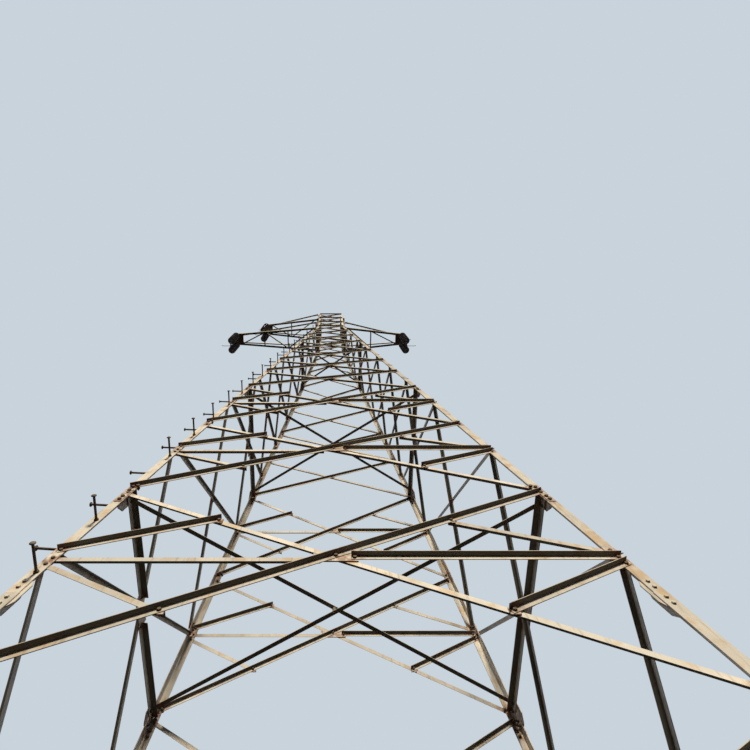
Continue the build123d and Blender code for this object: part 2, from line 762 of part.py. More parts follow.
def earth_beam():
    """Beam along X over the top struts, with a clamp for the earth wire under its end."""
    low_x = -EARTH_REACH - EARTH_OVERRUN
    heel = Vector(low_x, -EARTH_BEAM[0] / 2, TOP_HEIGHT)
    travel = Vector(WAIST_HALF + EARTH_OVERRUN - low_x, 0, 0)
    beam = angle_bar(heel, travel, Vector(0, 1, 0), Vector(0, 0, 1), EARTH_BEAM)
    width, breadth, drop = EARTH_HANGER
    hanger = Box(width, breadth, drop).moved(Location((-EARTH_REACH, 0, TOP_HEIGHT - drop / 2)))
    clamp = wire_clamp(
        -EARTH_REACH, TOP_HEIGHT - drop + CLAMP_SEAT, EARTH_CLAMP_DIAMETER, EARTH_CLAMP_LENGTH
    )
    return beam, joined([hanger, clamp])


def save(name, solids):
    """Write the solids of one node to its own file."""
    export_step(Compound(children=list(solids)), f"parts/{name}.step")


def main():
    """Build every node and write it out."""
    os.makedirs("parts", exist_ok=True)
    leg_thickness = LEG_LOW[1]
    packings = []

    lower, upper = leg_lengths()
    for corner, solid in at_four_corners(lower).items():
        save(f"leg_{corner}", [solid])
    save("cage_legs", at_four_corners(upper).values())
    save("leg_splices", at_four_corners(splice()).values())
    save("base_plates", at_four_corners(base_plate()).values())

    for face, levels, names in (
        (FRONT, FRONT_LEVELS, ("front", "back")),
        (RIGHT, SIDE_LEVELS, ("right", "left")),
    ):
        outer, inner = crossed_diagonals(face, levels, DIAGONAL, leg_thickness)
        save(f"{names[0]}_outer", outer)
        save(f"{names[0]}_inner", inner)
        save(f"{names[1]}_outer", turned(outer))
        save(f"{names[1]}_inner", turned(inner))

    ties, tie_plates = front_ties()
    save("front_ties", ties)
    save("back_ties", turned(ties))
    plates = tie_plates + crossing_plates(FRONT, FRONT_LEVELS, leg_thickness, range(TIED_PANELS))
    plates += crossing_plates(RIGHT, SIDE_LEVELS, leg_thickness, DIAPHRAGM_PANELS)
    packings += plates + turned(plates)

    for name, panel in zip(("low", "middle", "high"), DIAPHRAGM_PANELS):
        body, strut_plates = diaphragm(panel)
        save(f"diaphragm_{name}", [body])
        packings += strut_plates

    outer, inner, cage_ties, cage_plates = cage()
    save("cage_outer", outer)
    save("cage_inner", inner)
    save("cage_ties", cage_ties)
    save("cage_root_struts", root_struts())
    save("packing_plates", packings + cage_plates)

    gussets = []
    for name in ARMS:
        chords, web = arm(name)
        tie_bars, tie_gussets, tip_plate = arm_ties(name)
        strings, fittings = insulator_set(name)
        save(f"arm_{name}_chords", chords)
        save(f"arm_{name}_web", web)
        save(f"arm_{name}_ties", tie_bars)
        save(f"arm_{name}_tip", [tip_plate])
        save(f"insulators_{name}", strings)
        save(f"fittings_{name}", fittings)
        gussets += tie_gussets
    save("tie_gussets", gussets)

    beam, clamp = earth_beam()
    save("earth_beam", [beam])
    save("earth_clamp", [clamp])
    save("step_bolts", step_bolts())


main()
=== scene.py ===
"""Looks of the lattice transmission pylon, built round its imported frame.

Lengths are metres in the row frame: +Z up, the origin on the ground on the
tower's centre line, the arms along X and the front face towards -Y. The bars
are read from the frame as plain angles and rolled again with their root and
toe radii, then bolted at every joint, and the insulator sets are made anew.
"""
import json
import logging
import math
import random
from collections import defaultdict
from collections.abc import Sequence
from dataclasses import dataclass, field, replace
from enum import Enum
from functools import cache, cached_property
from itertools import product

import bmesh
import bpy
from bmesh.types import BMEdge, BMesh, BMVert
from bpy.types import Material, Mesh, NodeSocket, Object, World
from mathutils import Matrix, Vector
from mathutils.bvhtree import BVHTree

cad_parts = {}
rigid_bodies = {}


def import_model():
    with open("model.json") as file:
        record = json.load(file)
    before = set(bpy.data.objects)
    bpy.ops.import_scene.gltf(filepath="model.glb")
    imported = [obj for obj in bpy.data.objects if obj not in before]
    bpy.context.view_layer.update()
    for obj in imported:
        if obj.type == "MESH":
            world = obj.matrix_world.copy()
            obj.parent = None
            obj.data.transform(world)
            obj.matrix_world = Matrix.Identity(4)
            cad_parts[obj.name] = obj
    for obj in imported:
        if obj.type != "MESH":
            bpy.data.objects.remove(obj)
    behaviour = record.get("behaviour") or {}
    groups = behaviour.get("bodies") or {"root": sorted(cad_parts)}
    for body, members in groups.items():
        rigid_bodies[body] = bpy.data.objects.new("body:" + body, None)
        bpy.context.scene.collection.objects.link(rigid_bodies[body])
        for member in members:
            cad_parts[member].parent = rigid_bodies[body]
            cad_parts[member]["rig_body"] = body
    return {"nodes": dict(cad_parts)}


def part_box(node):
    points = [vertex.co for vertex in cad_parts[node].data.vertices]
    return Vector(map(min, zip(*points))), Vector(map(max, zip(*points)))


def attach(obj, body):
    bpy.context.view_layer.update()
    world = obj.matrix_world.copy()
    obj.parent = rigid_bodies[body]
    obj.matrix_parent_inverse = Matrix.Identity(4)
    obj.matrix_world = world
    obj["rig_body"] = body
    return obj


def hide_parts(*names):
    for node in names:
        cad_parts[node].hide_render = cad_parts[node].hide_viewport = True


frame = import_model()

Pair = tuple[float, float]
Triple = tuple[float, float, float]
Outline = Sequence[Pair]

LOG = logging.getLogger("pylon")
RIGHT = Vector((1, 0, 0))
BACK = Vector((0, 1, 0))
UP = Vector((0, 0, 1))
UP_TO_FRONT = Matrix.Rotation(math.radians(90), 4, "X")
FROM_MILLIMETRES = Matrix.Scale(0.001, 4)
CORNERS = ((-1, -1), (1, -1), (1, 1), (-1, 1))
BOTH_WAYS = tuple(product((-1, 1), repeat=2))
STRUT_LEVELS = {"low": 5.9, "middle": 10.13, "high": 16.05}
SPLICE_HEIGHT = 4.4
LEG_SECTION = (0.090, 0.010)

# Names of the attributes that the finishes read from the meshes.
STAIN = "joint_stain"
TONE = "bar_tone"
# Share of each face that points down, where the steel finishes paint shade.
BELOW_SHADE = "painted_below_shade"

# Corners nearer than this are one corner.
MERGE = 1e-5
# Lengths nearer than this are the same length.
SAME = 1e-4
# Lines whose directions differ by less than this, as a squared sine, never meet.
PARALLEL = 1e-6
# Where two roundings meet, corners nearer than this are one corner.
TOUCHING = 1e-6
# Facets of a plate's rounded corner.
CORNER_STEPS = 5
# Rounding of a strap's end, as a share of half its width.
ROUND_END = 0.97
# Room left between a plate and the strap or socket beside it.
PLAY = 0.0005
FORGED_EASE = 0.003


class Slot(Enum):
    """Material slots of the record."""

    STEEL = "galvanised_steel"
    PORCELAIN = "glazed_porcelain"


class Facing(Enum):
    """How the bolted flange of a bar lies."""

    UPRIGHT = "upright"
    LEVEL = "level"


def linear(hex_colour: str) -> tuple[float, float, float, float]:
    """Turns an sRGB hex colour to linear values.

    Args:
        hex_colour: Six hexadecimal digits after a hash sign.

    Returns:
        Linear red, green and blue, and an alpha of 1.
    """
    parts = [int(hex_colour[i : i + 2], 16) / 255 for i in (1, 3, 5)]
    red, green, blue = [
        c / 12.92 if c <= 0.04045 else ((c + 0.055) / 1.055) ** 2.4 for c in parts
    ]
    return red, green, blue, 1.0


class Graph:
    """The node tree of a material or of the world while it is put together."""

    NOISE_ROUGHNESS = 0.55

    def __init__(self, owner: Material | World) -> None:
        """Empties the owner's tree.

        Args:
            owner: Material or world whose looks are built.
        """
        owner.use_nodes = True
        self.owner = owner
        self.tree = owner.node_tree
        self.tree.nodes.clear()

    def add(self, kind: str, settings: dict[str | int, object]) -> bpy.types.Node:
        """Adds a node, sets its options and feeds its sockets.

        Args:
            kind: Blender's name of the node type after "ShaderNode".
            settings: Name of an option, or name or number of a socket, to its
                value, which may be another node's socket or a hex colour.

        Returns:
            The new node.
        """
        node = self.tree.nodes.new(f"ShaderNode{kind}")
        for name, value in settings.items():
            if isinstance(name, str) and name in node.bl_rna.properties:
                setattr(node, name, value)
            elif isinstance(value, NodeSocket):
                self.tree.links.new(value, node.inputs[name])
            else:
                plain = linear(value) if isinstance(value, str) else value
                node.inputs[name].default_value = plain
        return node

    def close(self, surface: NodeSocket) -> Material:
        """Puts a surface out and hands the material over."""
        self.add("OutputMaterial", {"Surface": surface})
        return self.owner

    @cached_property
    def place(self) -> NodeSocket:
        """Object coordinates, in metres."""
        return self.add("TexCoord", {}).outputs["Object"]

    def attribute(self, name: str) -> NodeSocket:
        """Value of an attribute of the mesh."""
        return self.add("Attribute", {"attribute_name": name}).outputs["Fac"]

    def calc(self, operation: str, *values: object, clamp: bool = False) -> NodeSocket:
        """Applies an arithmetic operation to sockets or numbers."""
        settings = {"operation": operation, "use_clamp": clamp, **dict(enumerate(values))}
        return self.add("Math", settings).outputs[0]

    def blend(self, share: object, under: object, colour: object) -> NodeSocket:
        """Lays a share of a colour over another."""
        return self.add("Mix", {"data_type": "RGBA", 0: share, 6: under, 7: colour}).outputs[2]

    def tint(self, mask: NodeSocket, share: float, under: object, colour: str) -> NodeSocket:
        """Lays a share of a colour over another where a mask is 1."""
        return self.blend(self.calc("MULTIPLY", mask, share), under, colour)

    def span(self, source: NodeSocket, **limits: float) -> NodeSocket:
        """Maps a value in a straight line, with from_min, to_max and so on as limits."""
        settings = {name.replace("_", " ").title(): value for name, value in limits.items()}
        return self.add("MapRange", {"Value": source, **settings}).outputs[0]

    def ramp(self, source: NodeSocket, low: float, high: float) -> NodeSocket:
        """Stretches a value smoothly so that low gives 0 and high gives 1."""
        settings = {"Value": source, "From Min": low, "From Max": high}
        return self.add("MapRange", {"interpolation_type": "SMOOTHSTEP", **settings}).outputs[0]

    def noise(
        self, size_mm: float, detail: float = 4, stretch: Triple = (1, 1, 1)
    ) -> NodeSocket:
        """Soft random pattern whose patches are of a real size.

        Args:
            size_mm: Size of a patch in millimetres.
            detail: Octaves of finer pattern.
            stretch: Scale of the coordinates along each axis.

        Returns:
            The pattern's value, from 0 to 1.
        """
        mapped = self.add("Mapping", {"Scale": stretch, "Vector": self.place})
        settings = {"Vector": mapped.outputs[0], "Scale": 1000 / size_mm, "Detail": detail}
        settings["Roughness"] = self.NOISE_ROUGHNESS
        return self.add("TexNoise", settings).outputs[0]

    def bump(
        self, size_mm: float, strength: float, depth: float, detail: float = 4
    ) -> NodeSocket:
        """Fine relief of a real patch size and depth."""
        settings = {"Strength": strength, "Distance": depth, "Height": self.noise(size_mm, detail)}
        return self.add("Bump", settings).outputs[0]

    def shown(self, lighting: bpy.types.Node, visible: bpy.types.Node) -> NodeSocket:
        """Mixes two shaders, so that one is seen and the other lights the scene.

        Args:
            lighting: Shader that rays from matt surfaces meet.
            visible: Shader that the eye meets, also by way of metal or glass.

        Returns:
            The mixed shader's socket.
        """
        path = self.add("LightPath", {})
        seen = path.outputs["Is Camera Ray"]
        for ray in ("Is Glossy Ray", "Is Transmission Ray"):
            seen = self.calc("MAXIMUM", seen, path.outputs[ray])
        shaders = {0: seen, 1: lighting.outputs[0], 2: visible.outputs[0]}
        return self.add("MixShader", shaders).outputs[0]


@dataclass(frozen=True)
class Wash:
    """Soft-edged patches of one colour over another."""

    size_mm: float
    detail: float
    low: float
    high: float
    share: float
    stretch: Triple = (1, 1, 1)

    def mask(self, graph: Graph) -> NodeSocket:
        """Where the patches lie, from 0 to 1."""
        return graph.ramp(graph.noise(self.size_mm, self.detail, self.stretch), self.low, self.high)

    def over(self, graph: Graph, under: object, colour: str) -> NodeSocket:
        """The colour below with the patches laid on it."""
        return graph.tint(self.mask(graph), self.share, under, colour)


@dataclass(frozen=True)
class HotDipZinc:
    """Hot-dip galvanised rolled steel after decades outdoors.

    The zinc has turned to a matt cream-grey patina, washed with ochre dust and
    dark runs, and rust bleeds from the bolted joints. Faces that point down are
    darkened with painted shade.
    """

    name: str
    patina: str = "#EFE7D6"
    zinc: str = "#CBC8BE"
    ochre: str = "#CFA970"
    dirt: str = "#6E675B"
    rust: str = "#7A4526"
    # Colour of the painted shade on faces that point down.
    below_shade: str = "#37322B"
    base_stain: float = 0.0
    clouds: Wash = Wash(420, 4, 0.38, 0.62, 0.55)
    dust: Wash = Wash(160, 5, 0.50, 0.66, 0.45)
    runs: Wash = Wash(24, 3, 0.52, 0.72, 0.35, (1, 1, 0.05))
    bleeding: Wash = Wash(38, 5, 0.36, 0.60, 0.85)
    crystal_mm: float = 12
    crystal_share: float = 0.16
    # How far the painted shade darkens faces that point down.
    below_shade_share: float = 0.85
    tone_share: float = 0.34
    # How far a face must point down for the painted shade to start and to be full.
    below_shade_ramp: Pair = (0.2, 0.8)
    roughness: Pair = (0.60, 0.80)
    worn_mm: float = 60
    rust_roughness: float = 0.2
    peel_mm: float = 7
    peel_strength: float = 0.25
    peel_depth: float = 0.0012
    shine: float = 0.05

    def build(self) -> Material:
        """Makes the material.

        Returns:
            The finished material.
        """
        graph = Graph(bpy.data.materials.new(self.name))
        colour = self.clouds.over(graph, self.patina, self.zinc)
        colour = self.dust.over(graph, colour, self.ochre)
        colour = self.runs.over(graph, colour, self.dirt)
        settings = {"Scale": 1000 / self.crystal_mm, "Vector": graph.place}
        crystals = graph.add("TexVoronoi", settings).outputs["Color"]
        grain = graph.add("SeparateColor", {"Color": crystals}).outputs[0]
        colour = graph.tint(grain, self.crystal_share, colour, self.zinc)
        # Painted shade: faces that point down are darkened towards the shade colour.
        below_shade_ramp = graph.ramp(graph.attribute(BELOW_SHADE), *self.below_shade_ramp)
        colour = graph.tint(below_shade_ramp, self.below_shade_share, colour, self.below_shade)
        dull = graph.span(graph.attribute(TONE), from_min=-1.0, to_max=self.tone_share)
        colour = graph.blend(dull, colour, self.dirt)

        stain = graph.calc("ADD", graph.attribute(STAIN), self.base_stain, clamp=True)
        rusty = graph.calc("MULTIPLY", self.bleeding.mask(graph), stain)
        colour = graph.tint(rusty, self.bleeding.share, colour, self.rust)

        smooth, rough = self.roughness
        worn = graph.span(graph.noise(self.worn_mm), to_min=smooth, to_max=rough)
        worn = graph.calc("MULTIPLY_ADD", rusty, self.rust_roughness, worn, clamp=True)
        settings = {
            "Base Color": colour,
            "Specular IOR Level": self.shine,
            "Roughness": worn,
            "Normal": graph.bump(self.peel_mm, self.peel_strength, self.peel_depth),
        }
        return graph.close(graph.add("BsdfPrincipled", settings).outputs[0])


@dataclass(frozen=True)
class BrownGlaze:
    """Electrical porcelain, glazed and fired to a glossy dark brown.

    The glaze is darker in soft random patches where it lies thicker, and years
    of dust dull it.
    """

    name: str = "glazed_porcelain_brown"
    glaze: str = "#2B1610"
    pooled: str = "#140A07"
    dust: str = "#5A4A3C"
    pools: Wash = Wash(45, 3, 0.40, 0.65, 0.6)
    film: Wash = Wash(70, 5, 0.48, 0.70, 0.16)
    roughness: Pair = (0.16, 0.45)
    ripple_mm: float = 18
    ripple_detail: float = 2
    ripple_strength: float = 0.12
    ripple_depth: float = 0.0006
    ior: float = 1.52

    def build(self) -> Material:
        """Makes the material.

        Returns:
            The finished material.
        """
        graph = Graph(bpy.data.materials.new(self.name))
        colour = self.pools.over(graph, self.glaze, self.pooled)
        film = self.film.mask(graph)
        smooth, dusty = self.roughness
        settings = {
            "Base Color": graph.tint(film, self.film.share, colour, self.dust),
            "IOR": self.ior,
            "Roughness": graph.span(film, to_min=smooth, to_max=dusty),
            "Normal": graph.bump(
                self.ripple_mm, self.ripple_strength, self.ripple_depth, self.ripple_detail
            ),
        }
        return graph.close(graph.add("BsdfPrincipled", settings).outputs[0])


@dataclass(frozen=True)
class StudioFloor:
    """Matt pale concrete that reflects as little light upwards as grass does."""

    name: str = "pale_floor"
    colour: str = "#D2D0CB"
    mottle: str = "#BDBBB6"
    mottle_mm: float = 2600
    mottle_share: float = 0.05
    bounce: str = "#1F1E1B"
    glow: float = 0.12
    roughness: float = 0.9

    def build(self) -> Material:
        """Makes the material with a faint mottle.

        Returns:
            The finished material.
        """
        graph = Graph(bpy.data.materials.new(self.name))
        patches = graph.noise(self.mottle_mm, detail=2)
        colour = graph.tint(patches, self.mottle_share, self.colour, self.mottle)
        settings = {
            "Base Color": colour,
            "Emission Color": colour,
            "Emission Strength": self.glow,
            "Roughness": self.roughness,
            "Specular IOR Level": 0.0,
        }
        visible = graph.add("BsdfPrincipled", settings)
        dull = graph.add("BsdfDiffuse", {"Color": self.bounce})
        return graph.close(graph.shown(dull, visible))


@dataclass(frozen=True)
class Finishes:
    """The materials of the whole object."""

    leg: Material
    bar: Material
    plate: Material
    bolt: Material
    cap: Material
    porcelain: Material

    @classmethod
    def make(cls) -> "Finishes":
        """Builds every material once.

        Returns:
            The finishes.
        """
        bolt = dict(patina="#8D8273", zinc="#6E6A62", ochre="#7E5B3C", rust="#4A2A18")
        iron = dict(patina="#807B71", zinc="#66645E", ochre="#7A5F45", rust="#54331F")
        dusty = replace(HotDipZinc.dust, share=0.60)
        return cls(
            leg=HotDipZinc("galvanised_leg_steel", dust=dusty).build(),
            bar=HotDipZinc("galvanised_bar_steel").build(),
            plate=HotDipZinc("galvanised_plate_steel", rust="#8C5232", base_stain=0.7).build(),
            bolt=HotDipZinc("spun_zinc_bolt_steel", base_stain=0.6, **bolt).build(),
            cap=HotDipZinc("galvanised_malleable_iron", base_stain=0.35, **iron).build(),
            porcelain=BrownGlaze().build(),
        )


def add_object(name: str, data: bpy.types.ID) -> Object:
    """Adds an object to the scene, at the origin and unturned.

    Args:
        name: Name of the object.
        data: Its mesh, lamp or camera.

    Returns:
        The new object.
    """
    obj = bpy.data.objects.new(name, data)
    bpy.context.scene.collection.objects.link(obj)
    return obj


def piece(
    name: str, source: BMesh, material: Material, body: str = "tower"
) -> Object:
    """Turns a finished bmesh into an object that rides on a body.

    Args:
        name: Name of the piece.
        source: The geometry, which is freed.
        material: Its finish.
        body: CAD body that it moves with.

    Returns:
        The new object.
    """
    # Records how far each face points down; the steel finishes darken these faces as painted shade.
    under = source.faces.layers.float.new(BELOW_SHADE)
    source.normal_update()
    for face in source.faces:
        face[under] = max(0.0, -face.normal.z)
    mesh = bpy.data.meshes.new(name)
    source.to_mesh(mesh)
    source.free()
    mesh.materials.append(material)
    obj = add_object(name, mesh)
    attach(obj, body)
    LOG.info("%s: %d faces on %s", name, len(mesh.polygons), body)
    return obj


def closed_mesh(source: BMesh, name: str) -> Mesh:
    """Turns a closed bmesh into a mesh with its normals outward.

    Args:
        source: The geometry, which is freed.
        name: Name of the mesh.

    Returns:
        The mesh.
    """
    bmesh.ops.recalc_face_normals(source, faces=source.faces[:])
    mesh = bpy.data.meshes.new(name)
    source.to_mesh(mesh)
    source.free()
    return mesh


def pour(target: BMesh, source: BMesh) -> None:
    """Adds one closed bmesh to another and frees it.

    Args:
        target: Bmesh that receives the geometry.
        source: Bmesh that is added.
    """
    mesh = closed_mesh(source, "poured")
    target.from_mesh(mesh)
    bpy.data.meshes.remove(mesh)


def stamp(target: BMesh, source: Mesh, place: Matrix) -> None:
    """Adds a placed copy of a mesh to a bmesh.

    Args:
        target: Bmesh that receives the copy.
        source: Mesh to copy.
        place: Transform of the copy.
    """
    copy = source.copy()
    copy.transform(place)
    target.from_mesh(copy)
    bpy.data.meshes.remove(copy)


def frame_at(origin: Vector, normal: Vector, spin: float = 0.0) -> Matrix:
    """A transform that puts +Z along a normal, turned about it by a spin in radians."""
    turn = normal.to_track_quat("Z", "Y").to_matrix().to_4x4()
    return Matrix.Translation(origin) @ turn @ Matrix.Rotation(spin, 4, "Z")


def bevel(
    bm: BMesh,
    geom: list,
    offset: float,
    segments: int,
    corners: bool = False,
    clamp: bool = False,
) -> None:
    """Bevels edges, or rounds corners of an outline.

    Args:
        bm: Bmesh that is changed.
        geom: The edges or corners.
        offset: How much the bevel takes off.
        segments: Facets of the bevel.
        corners: Whether corners are given and not edges.
        clamp: Whether bevels that meet are held back.
    """
    bmesh.ops.bevel(
        bm,
        geom=geom,
        offset=offset,
        affect="VERTICES" if corners else "EDGES",
        segments=segments,
        profile=0.5,
        material=-1,
        clamp_overlap=clamp,
    )


def sweep(bm: BMesh, travel: Vector) -> None:
    """Extrudes the one face of a bmesh along a vector to a closed body.

    Args:
        bm: Bmesh that is changed.
        travel: How far the copy of the face goes.
    """
    swept = bmesh.ops.extrude_face_region(bm, geom=bm.faces[:])
    moved = [g for g in swept["geom"] if isinstance(g, BMVert)]
    bmesh.ops.translate(bm, verts=moved, vec=travel)
    bmesh.ops.recalc_face_normals(bm, faces=bm.faces[:])


def cut_at(bm: BMesh, point: Vector, normal: Vector, off: bool = False) -> list[BMEdge]:
    """Cuts a bmesh at a plane.

    Args:
        bm: Bmesh that is changed.
        point: A point of the plane.
        normal: Direction across the plane.
        off: Whether what lies beyond it is taken off.

    Returns:
        The edges in the plane.
    """
    cut = bmesh.ops.bisect_plane(
        bm,
        geom=bm.verts[:] + bm.edges[:] + bm.faces[:],
        dist=MERGE,
        plane_co=point,
        plane_no=normal,
        clear_outer=off,
    )
    return [g for g in cut["geom_cut"] if isinstance(g, BMEdge)]


def rectangle(low: Pair, high: Pair) -> list[Pair]:
    """Outline of a rectangle from two opposite corners."""
    return [low, (high[0], low[1]), high, (low[0], high[1])]


def plate(
    target: BMesh,
    origin: Vector,
    axes: tuple[Vector, Vector, Vector],
    outline: Outline,
    thickness: float,
    radii: dict[int, float] | None = None,
    ease: float = 0.001,
) -> None:
    """Adds a flat plate with rounded corners and eased edges.

    Args:
        target: Bmesh that the plate is added to.
        origin: Where the outline is measured from.
        axes: Directions of the outline's two measures and of the thickness.
        outline: Corners of one face, in order.
        thickness: Thickness of the plate, which may be negative.
        radii: Number of a corner to the length that its rounding takes.
        ease: Width of the bevel round both faces.
    """
    first, second, out = axes
    bm = bmesh.new()
    verts = [bm.verts.new(origin + first * a + second * b) for a, b in outline]
    bm.faces.new(verts)
    for number, radius in (radii or {}).items():
        bevel(bm, [verts[number]], radius, CORNER_STEPS, corners=True)
    sweep(bm, out * thickness)
    lines = [(e, (e.verts[1].co - e.verts[0].co).normalized()) for e in bm.edges]
    bevel(bm, [e for e, along in lines if abs(along.dot(out)) < 0.5], ease, 1, clamp=True)
    pour(target, bm)


def cylinder(
    bm: BMesh, foot: Vector, radius: float, depth: float, sides: int, top: float | None = None
) -> list[BMVert]:
    """Adds an upright cylinder, prism or cone.

    Args:
        bm: Bmesh that it is added to.
        foot: Centre of the lower end.
        radius: Radius over the corners of the lower end.
        depth: Height.
        sides: Facets round the axis.
        top: Radius of the upper end, where it differs.

    Returns:
        The corners.
    """
    return bmesh.ops.create_cone(
        bm,
        cap_ends=True,
        segments=sides,
        radius1=radius,
        radius2=radius if top is None else top,
        depth=depth,
        matrix=Matrix.Translation(foot + UP * (depth / 2)),
    )["verts"]


def spun(name: str, outline: Outline, steps: int) -> Mesh:
    """A closed mesh spun about Z from an outline of radius and height.

    Args:
        name: Name of the mesh.
        outline: Radius and height of each point, from pole to pole.
        steps: Facets round the axis.

    Returns:
        The mesh.
    """
    bm = bmesh.new()
    verts = [bm.verts.new((radius, 0, height)) for radius, height in outline]
    edges = [bm.edges.new(pair) for pair in zip(verts, verts[1:])]
    bmesh.ops.spin(
        bm,
        geom=verts + edges,
        cent=(0, 0, 0),
        axis=UP,
        angle=2 * math.pi,
        steps=steps,
        use_merge=True,
    )
    bmesh.ops.remove_doubles(bm, verts=bm.verts, dist=TOUCHING)
    for face in bm.faces:
        face.smooth = True
    return closed_mesh(bm, name)


@dataclass(frozen=True)
class BentRod:
    """A round rod of straight runs joined by arcs."""

    radius: float
    bend: float
    sides: int = 10
    step: float = 0.3

    def build(self, target: BMesh, points: list[Vector]) -> None:
        """Sweeps the rod's circle along its line.

        Args:
            target: Bmesh that the rod is added to.
            points: Both ends of the line and the corners between them.
        """
        bm = bmesh.new()
        place = frame_at(points[0], (points[1] - points[0]).normalized())
        bmesh.ops.create_circle(
            bm, cap_ends=True, segments=self.sides, radius=self.radius, matrix=place
        )
        loop = bm.edges[:]
        at = points[0]
        for before, corner, after in zip(points, points[1:], points[2:]):
            come = (corner - before).normalized()
            go = (after - corner).normalized()
            turn = come.angle(go)
            cut = self.bend * math.tan(turn / 2)
            loop = self._run(bm, loop, corner - come * cut - at)
            axis = come.cross(go).normalized()
            arc = bmesh.ops.spin(
                bm,
                geom=loop,
                cent=corner - come * cut + axis.cross(come) * self.bend,
                axis=axis,
                angle=turn,
                steps=max(2, round(turn / self.step)),
                use_merge=False,
            )
            loop = [g for g in arc["geom_last"] if isinstance(g, BMEdge)]
            at = corner + go * cut
        loop = self._run(bm, loop, points[-1] - at)
        bmesh.ops.edgeloop_fill(bm, edges=loop)
        for face in bm.faces:
            face.smooth = len(face.verts) == 4
        pour(target, bm)

    def _run(self, bm: BMesh, loop: list[BMEdge], travel: Vector) -> list[BMEdge]:
        """Carries the open end of the rod on along a straight run.

        Args:
            bm: Bmesh of the rod.
            loop: Edges of its open end.
            travel: Length and direction of the run.

        Returns:
            Edges of the new open end.
        """
        swept = bmesh.ops.extrude_edge_only(bm, edges=loop)["geom"]
        verts = {g for g in swept if isinstance(g, BMVert)}
        bmesh.ops.translate(bm, verts=list(verts), vec=travel)
        return [g for g in swept if isinstance(g, BMEdge) and verts.issuperset(g.verts)]


@dataclass(frozen=True)
class Taper:
    """The body's slope: half its width and half its depth at each height."""

    base: Pair = (2.525, 1.680)
    waist_half: float = 0.480
    waist: float = 20.0

    def half(self, height: float) -> Vector:
        """Half width along X and half depth along Y at a height."""
        share = min(height / self.waist, 1.0)
        return Vector([low + (self.waist_half - low) * share for low in self.base])

    def heel(self, side_x: int, side_y: int, height: float) -> Vector:
        """The outer corner of a leg at a height."""
        half = self.half(height)
        return Vector((side_x * half.x, side_y * half.y, height))


def node_mesh(name: str) -> BMesh:
    """A copy of a CAD node's solids.

    Args:
        name: CAD node.

    Returns:
        The copy, in which shared corners are merged.
    """
    bm = bmesh.new()
    bm.from_mesh(frame["nodes"][name].data)
    bmesh.ops.remove_doubles(bm, verts=bm.verts, dist=MERGE)
    return bm


def order(point: Vector) -> list[float]:
    """Coordinates to a hundredth of a millimetre, to sort points by."""
    return [round(c, 5) for c in point]


def node_islands(name: str) -> list[list[Vector]]:
    """Corner points of each separate solid of a CAD node.

    Args:
        name: CAD node.

    Returns:
        One list of different corner points per solid, always in the same order.
    """
    bm = node_mesh(name)
    left = set(bm.verts)
    islands = []
    while left:
        queue = [left.pop()]
        found = []
        while queue:
            vert = queue.pop()
            found.append(vert.co.copy())
            near = {v for edge in vert.link_edges for v in edge.verts} & left
            left -= near
            queue += near
        islands.append(sorted(found, key=order))
    bm.free()
    return sorted(islands, key=lambda points: order(points[0]))


def fresh_bars() -> BMesh:
    """An empty bmesh that carries the stains and the tone of bars.

    Returns:
        The bmesh.
    """
    bm = bmesh.new()
    for layer in (STAIN, TONE):
        bm.verts.layers.float.new(layer)
    return bm


def centroid(points: Sequence[Vector]) -> Vector:
    """Mean of some points."""
    return sum(points, Vector()) / len(points)


def long_way(points: list[Vector]) -> Vector:
    """Direction of a long body, with its length, from its corner points."""
    far = max(points, key=lambda p: (p - points[0]).length)
    return far - max(points, key=lambda p: (p - far).length)


